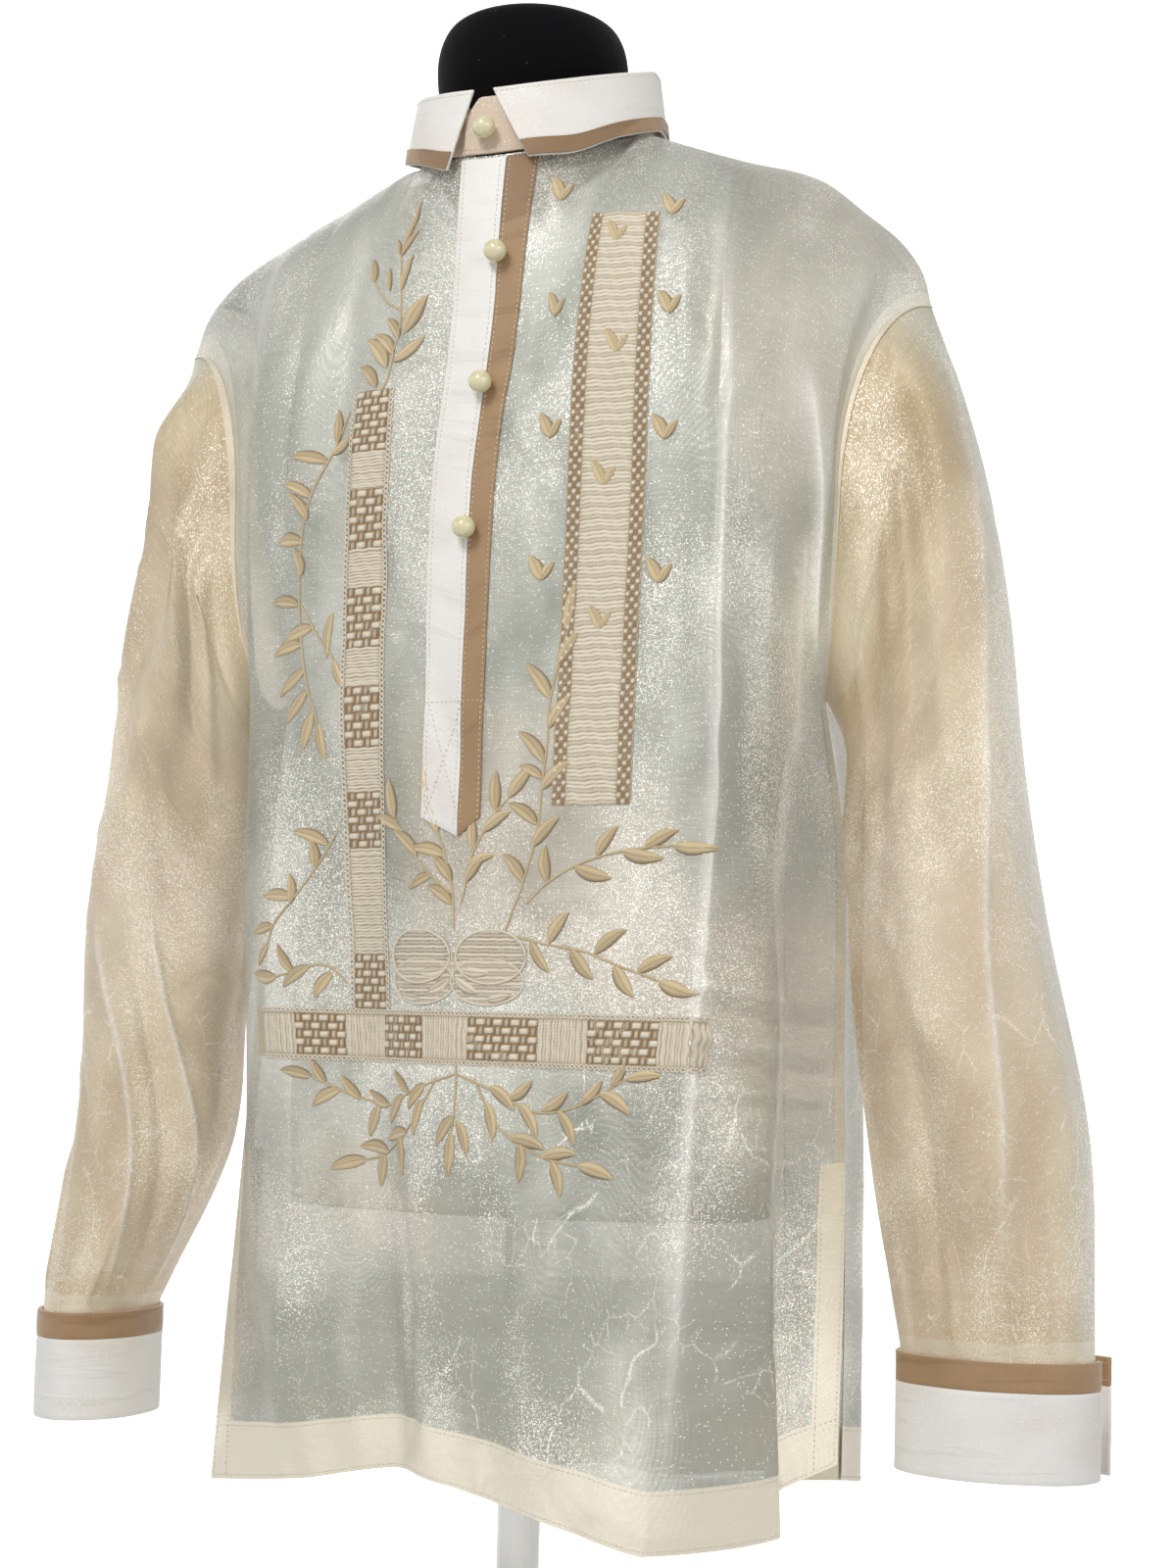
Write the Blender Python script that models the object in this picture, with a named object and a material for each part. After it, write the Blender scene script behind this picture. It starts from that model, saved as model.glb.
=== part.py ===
"""Barong tagalog shirt, worn by a limbless dress form on a short counter stand.

Metres, +Z up, front toward -Y, the wearer's left toward +X.
The origin is the centre of the stand base's underside.
"""
import math

import bmesh
import bpy
import numpy as np

MM = 0.001

# Driving sizes
CHEST_Z = 668 * MM
ARMPIT_Z = 560 * MM
TIP_Z = 777 * MM
NECK_CENTRE_Y = -33 * MM
NECK_LEFT_WIDTH = 68 * MM
NECK_RIGHT_WIDTH = 62 * MM
NECK_FRONT = 72 * MM
NECK_BACK = 60 * MM
NECKLINE_FRONT_Z = 848 * MM
NECKLINE_LEFT_RISE = 28 * MM
NECKLINE_RIGHT_RISE = 19 * MM
NECKLINE_BACK_RISE = 4 * MM

# Wall thicknesses and gaps
CLOTH = 1.2 * MM
FACING = 1.0 * MM
TRIM = 1.0 * MM
BAND = 1.1 * MM
COLLAR = 2.0 * MM
CUFF = 2.2 * MM
SEAM_GAP = 0.35 * MM
LAYER_GAP = 0.3 * MM
FACING_GAP = 0.5 * MM
FORM_GAP = 0.9 * MM

# Armhole loops by side (+1 the wearer's left): x at the tip, halfway down and at the armpit,
# then how far both loops bulge to the front and back
ARMHOLE_X = {
    1: (223 * MM, 186 * MM, 168 * MM),
    -1: (235 * MM, 176 * MM, 168 * MM),
}
ARMHOLE_FRONT = 46 * MM
ARMHOLE_BACK = 50 * MM
ARMHOLE_TOP_Y = 4 * MM

# Front panel, one row for each height: x and y of each key line in mm, from the wearer's right
FRONT_SECTIONS = [
    # z,   round_r,      band_r,       centre,     band_l,      crease,      fold,        dip
    (110, (-112, -60), (-38, -88), (5, -118), (66, -135), (122, -143), (171, -66), (158, -44)),
    (250, (-130, -66), (-44, -98), (4, -120), (76, -134), (131, -139), (166, -75), (160, -50)),
    (370, (-141, -68), (-52, -106), (3, -121), (80, -131), (138, -134), (163, -83), (165, -52)),
    (480, (-146, -70), (-56, -110), (3, -121), (80, -126), (143, -127), (162, -86), (167, -46)),
    (570, (-144, -72), (-59, -112), (3, -120), (80, -121), (141, -119), (161, -86), (165, -46)),
    (668, (-140, -86), (-60, -112), (3, -117), (80, -114), (139, -110), (164, -84), (178, -64)),
]

# Back panel, from the wearer's left
BACK_SECTIONS = [
    # z,   round_l,    blade_l,    centre,    blade_r,     round_r
    (110, (158, 76), (92, 134), (0, 128), (-90, 134), (-158, 74)),
    (250, (158, 72), (90, 132), (0, 126), (-88, 132), (-156, 72)),
    (370, (156, 70), (88, 130), (0, 125), (-86, 130), (-153, 70)),
    (480, (154, 74), (86, 130), (0, 126), (-84, 130), (-151, 74)),
    (570, (154, 80), (84, 130), (0, 128), (-84, 130), (-150, 80)),
    (668, (150, 90), (80, 128), (0, 126), (-80, 128), (-150, 90)),
]

# Side seams below the armhole: height, then x and y on the wearer's right and left
SIDE_SEAMS = [
    # z,   right,        left
    (110, (-190, -2), (189, -22)),
    (250, (-182, -3), (189, -17)),
    (370, (-175, -3), (185, -10)),
    (480, (-173, -2), (181, -4)),
    (560, (-168, 0), (168, 0)),
]
VENT_TOP = {"right": 300 * MM, "left": 305 * MM}
VENT_SPREAD = 5 * MM
VENT_LOW_Z = 110 * MM

# Heights at which the key lines and the bands are placed across the panels
KEY_REFERENCE_Z = 480 * MM
BAND_REFERENCE_Z = 600 * MM

# Height of the hem under each key line, in mm
FRONT_HEM = (112, 126, 141, 141, 131, 119, 120, 136, 153)
BACK_HEM = (144, 128, 118, 116, 118, 120, 114)

# Where each key line ends at the top: 0 centre, 1 neck corner, 2 shoulder tip
FRONT_TOP = (-2.0, -1.34, -0.62, 0.0, 1.0, 1.26, 1.5, 1.76, 2.0)
BACK_TOP = (2.0, 1.42, 0.9, 0.0, -0.9, -1.42, -2.0)

# Degrees by which the curve from the chest to the top edge is flatter at the neck's centre
NECK_FLATTEN = 42.0

# Sharpness of each key line across a section: 0 round, 1 a pressed corner
FRONT_SHARP = (0, 0, 0.15, 0, 0, 0.85, 0.45, 0.2, 0)
BACK_SHARP = (0, 0, 0, 0, 0, 0, 0)

# Shoulder seams by side, from the neck corner to the tip: x outward, y and z in mm
SHOULDER = {
    1: [
        (68, -33, 876), (115, -8, 863), (160, 2, 852), (187, 4, 831),
        (206, 4, 814), (218, 4, 796), (223, 4, 777),
    ],
    -1: [
        (62, -33, 867), (115, -8, 855), (160, 2, 842), (190, 4, 831),
        (212, 4, 818), (227, 4, 800), (235, 4, 777),
    ],
}

# How far the front opening leans across the panel: its columns, rows and amount
LEAN_U = (0.37, 0.43, 0.50, 0.578)
LEAN_V = (0.9, 1.5)
LEAN = 0.0185

# Soft folds: across position at the top and bottom, height range (0 hem, 1 chest, 2 seam),
# half width across and outward rise in mm
FRONT_FOLDS = [
    # name,            u_top, u_low, v_low, v_top, width, rise
    ("shoulder_right", 0.115, 0.155, 0.60, 1.90, 0.040, 5.0),
    ("shoulder_trough", 0.060, 0.075, 0.55, 1.95, 0.035, -4.0),
    ("shoulder_left", 0.935, 0.960, 0.80, 1.90, 0.028, 5.0),
    ("lower_right", 0.230, 0.215, 0.00, 0.95, 0.050, 5.0),
    ("lower_trough", 0.320, 0.345, 0.00, 0.80, 0.045, -5.0),
    ("lower_left", 0.640, 0.620, 0.00, 0.60, 0.050, 4.0),
]
BACK_FOLDS = [
    ("left_outer", 0.14, 0.12, 0.00, 1.55, 0.042, 12.0),
    ("left_trough", 0.23, 0.22, 0.00, 1.50, 0.042, -16.0),
    ("left_inner", 0.34, 0.33, 0.00, 1.50, 0.042, 15.0),
    ("left_dip", 0.43, 0.43, 0.00, 1.45, 0.038, -15.0),
    ("centre", 0.50, 0.50, 0.00, 1.45, 0.036, 13.0),
    ("right_dip", 0.57, 0.57, 0.00, 1.45, 0.038, -15.0),
    ("right_inner", 0.66, 0.67, 0.00, 1.50, 0.042, 15.0),
    ("right_trough", 0.77, 0.78, 0.00, 1.50, 0.042, -16.0),
    ("right_outer", 0.86, 0.88, 0.00, 1.55, 0.042, 12.0),
]

# Sleeves, one row for each ring: heights of its outer and inner side, centre, half width,
# depth to the front and back, in mm
LEFT_SLEEVE = [
    # outer z, inner z, centre x, half width, front, back
    (777, 560, 195.5, 27.5, 46, 50),
    (732, 538, 210, 30, 54, 56),
    (675, 510, 221, 35, 62, 62),
    (607, 476, 228, 40, 68, 66),
    (523, 430, 234, 43, 70, 66),
    (438, 378, 243, 48, 66, 62),
    (325, 300, 260, 55, 52, 48),
    (213, 213, 268, 51, 32, 28),
]
RIGHT_SLEEVE = [
    # outer z, inner z, centre x, half width, front, back
    (777, 560, -201.5, 33.5, 46, 50),
    (732, 540, -206, 33, 50, 54),
    (675, 512, -207, 33, 56, 60),
    (607, 478, -217, 38, 62, 62),
    (523, 430, -226, 42, 64, 62),
    (438, 378, -234, 44, 62, 60),
    (325, 300, -239, 44, 52, 50),
    (206, 206, -271, 28, 46, 46),
]
SLEEVE_COLUMNS = 24
SLEEVE_ROWS = 14
SLEEVE_GAP = 0.9 * MM
SLEEVE_HEAD_BLEND = 0.12
SLEEVE_FOLDS = [
    # name,       angle_top, angle_low, w_top, w_low, width, rise: angles in turns from outer to front
    ("head_front", 0.10, 0.12, 0.02, 0.55, 0.050, 6.0),
    ("head_trough", 0.17, 0.18, 0.02, 0.60, 0.045, -6.0),
    ("press", 0.24, 0.22, 0.05, 1.00, 0.045, 6.0),
    ("front_trough", 0.33, 0.34, 0.10, 0.95, 0.050, -5.0),
    ("inner_ridge", 0.43, 0.45, 0.20, 1.00, 0.045, 4.0),
    ("back_trough", 0.66, 0.66, 0.10, 0.95, 0.060, -5.0),
    ("back_ridge", 0.78, 0.80, 0.10, 0.95, 0.060, 5.0),
]

# Cuffs
CUFF_DROP = 0.5 * MM
CUFF_OUT = 1.0 * MM
CUFF_COLUMNS = 20
CUFF_BAND_HEIGHT = 15 * MM
CUFF_HEIGHT = 46 * MM
CUFF_FLARE = {1: 13 * MM, -1: 5 * MM}
CUFF_FLARE_TURN = 0.14
CUFF_START_TURN = -0.02
CUFF_END_TURN = 0.90
CUFF_BUTTON_TURN = 0.855
CUFF_BUTTON_RADIUS = 5.5 * MM
CUFF_BUTTON_THICKNESS = 2.2 * MM

# Collar: angles in degrees round the neck from the front, toward the wearer's left
STAND_HEIGHT = 32 * MM
STAND_SEAM = 1.2 * MM
STAND_END_ROUND = 0.3
STAND_END_TURN = 9.0
STAND_LEFT_END = -11.0
STAND_RIGHT_END = 346.0
STAND_STEP = 15.0
FALL_COLUMNS = 26
FALL_TOP_UP = 5 * MM
FALL_HEIGHT = 35 * MM
FALL_TIP_DROP = 8 * MM
FALL_TOP_OUT = 3.4 * MM
FALL_LOW_OUT = 8.5 * MM
FALL_LEFT_TOP = 6.0
FALL_LEFT_TIP = 21.0
FALL_RIGHT_TOP = 347.0
FALL_RIGHT_TIP = 342.0
COLLAR_BAND_HEIGHT = 8 * MM

# Front opening, embroidered bands and buttons
PLACKET_LEFT_X = -20 * MM
PLACKET_JOIN_X = 3.5 * MM
PLACKET_RIGHT_X = 16.5 * MM
PLACKET_TOP_V = 1.95
PLACKET_LOW_Z = 486 * MM
PLACKET_POINT = 10 * MM
NARROW_BAND_X = (-72.5 * MM, -46.5 * MM)
NARROW_BAND_Z = 722 * MM
WIDE_BAND_X = (57 * MM, 102 * MM)
WIDE_BAND_Z = (491 * MM, 816 * MM)
CROSS_BAND_X = (-133 * MM, 143 * MM)
CROSS_BAND_Z = (357 * MM, 383 * MM)
BUTTON_RADIUS = 6.2 * MM
BUTTON_Z = (790 * MM, 719 * MM, 640 * MM)
COLLAR_BUTTON_Z = 862 * MM
COLLAR_BUTTON_TURN = 2.0
HEM_HEIGHT = 30 * MM
HEM_Z = 130 * MM
HEM_FADE_V = 0.6
HEM_V = HEM_HEIGHT / (CHEST_Z - HEM_Z)
VENT_V = (VENT_TOP["left"] - HEM_Z) / (CHEST_Z - HEM_Z)
ARMPIT_V = (ARMPIT_Z - HEM_Z) / (CHEST_Z - HEM_Z)
FACING_U = 0.032
ROW_GAP_V = 0.13

# Column spacing across the panels, as parts of their width
FRONT_GAP_U = 0.05
BACK_GAP_U = 0.037
NECK_GAP_U = 0.024
LEAST_GAP_U = 0.010
LEAST_EXTRA_V = 0.012
LEAST_STRIP = 0.05

# Dress form and stand
FORM_SECTIONS = [
    # z, half width, front and back in mm
    (276, 138, 84, 84),
    (380, 141, 88, 86),
    (480, 136, 92, 82),
    (570, 148, 102, 92),
]
FORM_COLUMNS = 30
FORM_ROWS = (1.0, 1.25, 1.45, 1.62, 1.76, 1.88, 1.96, 2.0)
# radius, height (none: on the torso) and centre's y in mm
FORM_NECK_RINGS = [
    (50, None, -36), (52, 893, -37), (54, 906, -38), (54, 920, -39), (51, 932, -39),
    (45, 940, -39), (33, 945, -39), (14, 947, -39),
]
FORM_SWEEP = 0.94
FORM_ROUNDNESS = 0.8
FORM_EDGE_U = 0.045
FORM_SLACK = 4.0 * MM
FORM_RIDGE_SLACK = 3.0 * MM
FORM_TIP_DROP = 4 * MM
FORM_SEAT_Q = 1.35
FORM_SEAT_WIDTH = 0.14
FORM_RIDGE = 0.4 * MM
NECK_SEAT = -2.2 * MM
POLE_RADIUS = 12 * MM
BASE_RADIUS = 140 * MM
BASE_HEIGHT = 12 * MM
BASE_BEVEL = 1.5 * MM


# ---------------------------------------------------------------- curves
def smooth(t):
    t = np.clip(t, 0.0, 1.0)
    return t * t * (3.0 - 2.0 * t)


def spline(knots, values, where):
    """Catmull-Rom curve through values (rows) at knots, read at where."""
    knots = np.asarray(knots, float)
    values = np.asarray(values, float).reshape(len(knots), -1)
    where = np.asarray(where, float)
    tangents = np.empty_like(values)
    tangents[1:-1] = (values[2:] - values[:-2]) / (knots[2:] - knots[:-2])[:, None]
    tangents[0] = (values[1] - values[0]) / (knots[1] - knots[0])
    tangents[-1] = (values[-1] - values[-2]) / (knots[-1] - knots[-2])
    index = np.clip(np.searchsorted(knots, where) - 1, 0, len(knots) - 2)
    return hermite(knots[index], knots[index + 1], values[index], values[index + 1],
                   tangents[index], tangents[index + 1], where)


def hermite(k0, k1, p0, p1, m0, m1, where):
    """Cubic from p0 to p1 with slopes m0 and m1; it goes on straight past its ends."""
    span = k1 - k0
    t = (where - k0) / span
    inside = np.clip(t, 0.0, 1.0)[:, None]
    s = span[:, None]
    a = 2 * inside ** 3 - 3 * inside ** 2 + 1
    b = inside ** 3 - 2 * inside ** 2 + inside
    c = -2 * inside ** 3 + 3 * inside ** 2
    d = inside ** 3 - inside ** 2
    value = a * p0 + b * s * m0 + c * p1 + d * s * m1
    before = np.minimum(t, 0.0)[:, None] * s * m0
    after = np.maximum(t - 1.0, 0.0)[:, None] * s * m1
    return value + before + after


def across(keys, values, sharp, where):
    """Point on each section: values has a row of key points for each entry of where."""
    keys = np.asarray(keys, float)
    sharp = np.asarray(sharp, float)[None, :, None]
    step = (values[:, 1:] - values[:, :-1]) / np.diff(keys)[None, :, None]
    round_slope = np.empty_like(values)
    span = (keys[2:] - keys[:-2])[None, :, None]
    round_slope[:, 1:-1] = (values[:, 2:] - values[:, :-2]) / span
    round_slope[:, 0] = step[:, 0]
    round_slope[:, -1] = step[:, -1]
    start = round_slope[:, :-1] * (1 - sharp[:, :-1]) + step * sharp[:, :-1]
    end = round_slope[:, 1:] * (1 - sharp[:, 1:]) + step * sharp[:, 1:]
    index = np.clip(np.searchsorted(keys, where) - 1, 0, len(keys) - 2)
    rows = np.arange(len(where))
    return hermite(keys[index], keys[index + 1], values[rows, index], values[rows, index + 1],
                   start[rows, index], end[rows, index], where)


# ---------------------------------------------------------------- neck, shoulder and armhole
def neckline(turn):
    """Neckline seam at an angle in degrees from the front, toward the wearer's left."""
    angle = np.radians(turn)
    cosine = np.cos(angle)
    sine = np.sin(angle)
    x = np.where(sine > 0, NECK_LEFT_WIDTH, NECK_RIGHT_WIDTH) * sine
    depth = np.where(cosine > 0, NECK_FRONT, NECK_BACK)
    y = NECK_CENTRE_Y - depth * cosine
    left_share = np.where(cosine > 0, np.where(sine > 0, 1.0, 0.0), (1 + sine) / 2)
    side_rise = NECKLINE_RIGHT_RISE + (NECKLINE_LEFT_RISE - NECKLINE_RIGHT_RISE) * left_share
    front_rise = side_rise * np.clip(1 - cosine, 0, 1) ** 0.9
    z = NECKLINE_FRONT_Z + front_rise + NECKLINE_BACK_RISE * np.clip(-cosine, 0, 1)
    return np.stack([x, y, z], -1)


def shoulder(part, side):
    """Shoulder seam: 0 at the neck corner, 1 at the tip; side is +1 on the wearer's left."""
    points = np.array(SHOULDER[side]) * MM
    chords = np.linalg.norm(np.diff(points, axis=0), axis=1)
    knots = np.concatenate([[0.0], np.cumsum(chords)]) / chords.sum()
    seam = spline(knots, points, part)
    seam[:, 0] *= side
    return seam


def top_path(q, back):
    """Top edge of a panel: the neckline for |q| below 1, then the shoulder seam."""
    turn = np.clip(q, -1, 1) * 90.0
    if back:
        turn = 180.0 - turn
    neck = neckline(turn)
    part = np.clip(np.abs(q) - 1.0, 0, 1)
    seam = np.where((q < 0)[:, None], shoulder(part, -1), shoulder(part, 1))
    return np.where((np.abs(q) <= 1.0)[:, None], neck, seam)


def armhole(turn, side):
    """Armhole loop: turn 0 is the tip, 0.25 the front, 0.5 the armpit."""
    angle = 2 * math.pi * np.asarray(turn, float)
    level = np.cos(angle)
    swing = np.abs(np.sin(angle))
    high = level > 0
    tip, middle, low = ARMHOLE_X[side]
    x = middle + (1 - swing) * np.where(high, tip - middle, low - middle)
    depth = np.where(np.sin(angle) > 0, -ARMHOLE_FRONT, ARMHOLE_BACK)
    y = depth * swing + np.where(high, ARMHOLE_TOP_Y * (1 - swing), 0.0)
    z = CHEST_Z + level * np.where(high, TIP_Z - CHEST_Z, CHEST_Z - ARMPIT_Z)
    return np.stack([side * x, y, z], -1)


def panel_side(z, side, back):
    """Edge of a panel at a height below the chest: the side seam, then the armhole."""
    rows = np.array([[row[0], *(row[2] if side > 0 else row[1])] for row in SIDE_SEAMS]) * MM
    seam = spline(rows[:, 0], rows[:, 1:], z)
    way = 1.0 if back else -1.0
    vent_top = VENT_TOP["left" if side > 0 else "right"]
    opening = VENT_SPREAD * smooth((vent_top - z) / (vent_top - VENT_LOW_Z))
    seam[:, 1] += way * (SEAM_GAP + opening)
    level = np.clip((z - CHEST_Z) / (CHEST_Z - ARMPIT_Z), -1.0, 0.0)
    turn = np.arccos(level) / (2 * math.pi)
    if back:
        turn = 1.0 - turn
    loop = armhole(turn, side)[:, :2]
    loop[:, 1] += way * SEAM_GAP * -level
    return np.where((z >= ARMPIT_Z)[:, None], loop, seam)


# ---------------------------------------------------------------- panels
class Panel:
    """A front or back panel: u runs across it, v up it (0 hem, 1 chest, 2 top edge)."""

    def __init__(self, sections, hem, top, sharp, folds, back):
        self.heights = np.array([row[0] for row in sections]) * MM
        self.inner = np.array([row[1:] for row in sections]) * MM
        self.hem_z = np.array(hem) * MM
        self.top_q = np.array(top)
        self.sharp = sharp
        self.folds = folds
        self.back = back
        reference = self.key_points(np.array([KEY_REFERENCE_Z]))[0]
        chords = np.linalg.norm(np.diff(reference, axis=0), axis=1)
        self.keys = np.concatenate([[0.0], np.cumsum(chords)]) / chords.sum()

    def key_points(self, z):
        count = self.inner.shape[1]
        flat = self.inner.reshape(len(self.heights), -1)
        middle = spline(self.heights, flat, z).reshape(len(z), count, 2)
        sides = (-1, 1) if not self.back else (1, -1)
        first = panel_side(z, sides[0], self.back)[:, None]
        last = panel_side(z, sides[1], self.back)[:, None]
        return np.concatenate([first, middle, last], axis=1)

    def section(self, u, z):
        xy = across(self.keys, self.key_points(z), self.sharp, u)
        return np.concatenate([xy, z[:, None]], axis=1)

    def hem(self, u):
        return spline(self.keys, self.hem_z, u)[:, 0]

    def lean(self, u, v):
        """The middle of the front leans toward the wearer's left above the chest."""
        if self.back:
            return u
        low, left, right, high = LEAN_U
        share = smooth((u - low) / (left - low)) * smooth((high - u) / (high - right))
        return u + LEAN * share * smooth((v - LEAN_V[0]) / (LEAN_V[1] - LEAN_V[0]))

    def base(self, u, v):
        u = self.lean(u, v)
        low = np.clip(v, 0, 1)
        level = HEM_Z + (CHEST_Z - HEM_Z) * low
        z = level + (self.hem(u) - HEM_Z) * np.clip(1 - low / HEM_FADE_V, 0, 1) ** 2
        point = self.section(u, z)
        q = np.interp(u, self.keys, self.top_q)
        top = top_path(q, self.back)
        span = np.radians(90.0 - NECK_FLATTEN * smooth(1.0 - np.abs(q) ** 2))
        angle = span * np.clip(v - 1, 0, 1)
        inward = ((1 - np.cos(angle)) / (1 - np.cos(span)))[:, None]
        upward = (np.sin(angle) / np.sin(span))[:, None]
        arc = point + (top - point) * inward
        arc[:, 2] = point[:, 2] + (top[:, 2] - point[:, 2]) * upward[:, 0]
        way = 1.0 if self.back else -1.0
        arc[:, 1] += way * SEAM_GAP * 1.5 * np.clip(v - 1, 0, 1)
        return np.where((v > 1)[:, None], arc, point)

    def rise(self, u, v):
        total = np.zeros_like(u)
        for _, u_top, u_low, v_low, v_top, width, rise in self.folds:
            along = (v - v_low) / (v_top - v_low)
            middle = u_low + (u_top - u_low) * np.clip(along, 0, 1)
            bump = np.exp(-((u - middle) / width) ** 2)
            start = 1.0 if v_low <= 0 else smooth(along / 0.25)
            total += rise * MM * bump * start * smooth((1 - along) / 0.3)
        edge = smooth(u / 0.06) * smooth((1 - u) / 0.06)
        return total * edge

    def grid(self, columns, rows):
        """Points and outward normals on every row and column."""
        u, v = np.meshgrid(np.asarray(columns, float), np.asarray(rows, float))
        u = u.ravel()
        v = v.ravel()
        step = 0.004
        across_way = self.base(np.minimum(u + step, 1), v) - self.base(np.maximum(u - step, 0), v)
        up_way = self.base(u, np.minimum(v + step, 2)) - self.base(u, np.maximum(v - step, 0))
        normal = np.cross(across_way, up_way)
        normal /= np.linalg.norm(normal, axis=1)[:, None]
        points = self.base(u, v) + normal * self.rise(u, v)[:, None]
        shape = (len(rows), len(columns), 3)
        points = points.reshape(shape)
        normals = grid_normals(points, False)
        seam_rows = points[:, 0, 2] < ARMPIT_Z
        normals[seam_rows, 0, 1] = 0
        normals[seam_rows, -1, 1] = 0
        if v[-1] == 2:
            shoulder_columns = np.abs(np.interp(columns, self.keys, self.top_q)) >= 1
            normals[-1, shoulder_columns, 1] = 0
        normals /= np.linalg.norm(normals, axis=2, keepdims=True)
        return points, normals

    def u_at(self, x, z):
        """Column whose base point has this x at a height below the chest."""
        columns = np.linspace(0, 1, 400)
        found = self.section(columns, np.full(400, z))[:, 0]
        if self.back:
            found = -found
            x = -x
        return float(np.interp(x, np.maximum.accumulate(found), columns))

    def v_at(self, u, z):
        """Row at which column u reaches height z."""
        rows = np.linspace(0, 2, 800)
        found = self.base(np.full(800, u), rows)[:, 2]
        return float(np.interp(z, np.maximum.accumulate(found), rows))


def grid_normals(points, closed):
    """Outward normals of a grid whose columns run across and rows run up."""
    if closed:
        wide = np.concatenate([points[:, -1:], points, points[:, :1]], axis=1)
        across_way = wide[:, 2:] - wide[:, :-2]
    else:
        across_way = np.gradient(points, axis=1)
    up_way = np.gradient(points, axis=0)
    normal = np.cross(across_way, up_way)
    length = np.linalg.norm(normal, axis=2, keepdims=True)
    return normal / np.maximum(length, 1e-12)


# ---------------------------------------------------------------- solids
def material(name, colour, roughness):
    made = bpy.data.materials.new(name)
    made.use_nodes = True
    shader = made.node_tree.nodes["Principled BSDF"]
    shader.inputs["Base Color"].default_value = (*colour, 1.0)
    shader.inputs["Roughness"].default_value = roughness
    return made


def add_object(name, vertices, faces, look):
    mesh = bpy.data.meshes.new(name)
    mesh.from_pydata([tuple(map(float, v)) for v in vertices], [], faces)
    mesh.validate()
    mesh.materials.append(material(name, *look))
    made = bpy.data.objects.new(name, mesh)
    bpy.context.scene.collection.objects.link(made)
    mesh.shade_smooth()
    mesh.set_sharp_from_angle(angle=math.radians(35))
    return made


def wall(name, look, points, normals, low, high, closed=False):
    """Closed wall between two offsets of a grid of points."""
    rows, columns = points.shape[:2]
    outer = (points + normals * high).reshape(-1, 3)
    inner = (points + normals * low).reshape(-1, 3)
    count = rows * columns
    last = columns if closed else columns - 1
    faces = []

    def corner(row, column):
        return row * columns + column % columns

    for row in range(rows - 1):
        for column in range(last):
            a = corner(row, column)
            b = corner(row, column + 1)
            c = corner(row + 1, column + 1)
            d = corner(row + 1, column)
            faces.append((a, b, c))
            faces.append((a, c, d))
            faces.append((c + count, b + count, a + count))
            faces.append((d + count, c + count, a + count))
    for column in range(last):
        a = corner(0, column)
        b = corner(0, column + 1)
        faces.append((b, a, a + count, b + count))
        c = corner(rows - 1, column)
        d = corner(rows - 1, column + 1)
        faces.append((c, d, d + count, c + count))
    if not closed:
        for row in range(rows - 1):
            a = corner(row, 0)
            b = corner(row + 1, 0)
            faces.append((a, b, b + count, a + count))
            c = corner(row, columns - 1)
            d = corner(row + 1, columns - 1)
            faces.append((d, c, c + count, d + count))
    return add_object(name, np.concatenate([outer, inner]), faces, look)


def lathe(name, look, profile, centre, sides=32):
    """Turned solid from (radius, z) pairs that run bottom to top, closed by flat ends."""
    vertices = []
    faces = []
    for radius, z in profile:
        for step in range(sides):
            angle = 2 * math.pi * step / sides
            x = centre[0] + radius * math.cos(angle)
            y = centre[1] + radius * math.sin(angle)
            vertices.append((x, y, z))
    for ring in range(len(profile) - 1):
        for step in range(sides):
            a = ring * sides + step
            b = ring * sides + (step + 1) % sides
            faces.append((a, b, b + sides, a + sides))
    faces.append(tuple(reversed(range(sides))))
    top = (len(profile) - 1) * sides
    faces.append(tuple(range(top, top + sides)))
    return add_object(name, vertices, faces, look)


def ball(name, look, centre, radius):
    mesh = bpy.data.meshes.new(name)
    bm = bmesh.new()
    bmesh.ops.create_uvsphere(bm, u_segments=14, v_segments=9, radius=radius)
    bm.to_mesh(mesh)
    bm.free()
    mesh.materials.append(material(name, *look))
    mesh.shade_smooth()
    made = bpy.data.objects.new(name, mesh)
    made.location = centre
    bpy.context.scene.collection.objects.link(made)
    return made


# ---------------------------------------------------------------- finishes
SHEER = ((0.62, 0.64, 0.60), 0.45)
SHEER_WARM = ((0.70, 0.62, 0.48), 0.45)
HEM_LOOK = ((0.74, 0.68, 0.56), 0.5)
WHITE = ((0.82, 0.81, 0.78), 0.55)
BROWN = ((0.36, 0.24, 0.13), 0.6)
THREAD = ((0.68, 0.54, 0.33), 0.7)
PEARL = ((0.80, 0.74, 0.48), 0.2)
COVER = ((0.55, 0.55, 0.53), 0.9)
VELVET = ((0.012, 0.012, 0.014), 0.95)
ENAMEL = ((0.80, 0.80, 0.79), 0.35)


# ---------------------------------------------------------------- the garment
def spread(edges, gap):
    """Edges in order, with even steps no wider than gap between them."""
    values = []
    for start, end in zip(edges[:-1], edges[1:]):
        count = max(1, math.ceil((end - start) / gap - 1e-9))
        values.extend(start + (end - start) * step / count for step in range(count))
    values.append(edges[-1])
    return values


def neck_corners(panel):
    """Columns that end at the two neck corners."""
    order = np.argsort(panel.top_q)
    where = np.interp([-1.0, 1.0], panel.top_q[order], panel.keys[order])
    return sorted(float(u) for u in where)


def ordered(values, least=0.004):
    """Sorted values with near repeats dropped."""
    kept = []
    for value in sorted(values):
        if not kept or value - kept[-1] > least:
            kept.append(value)
    return kept


def nearest(values, wanted):
    return min(range(len(values)), key=lambda i: abs(values[i] - wanted))


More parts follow.
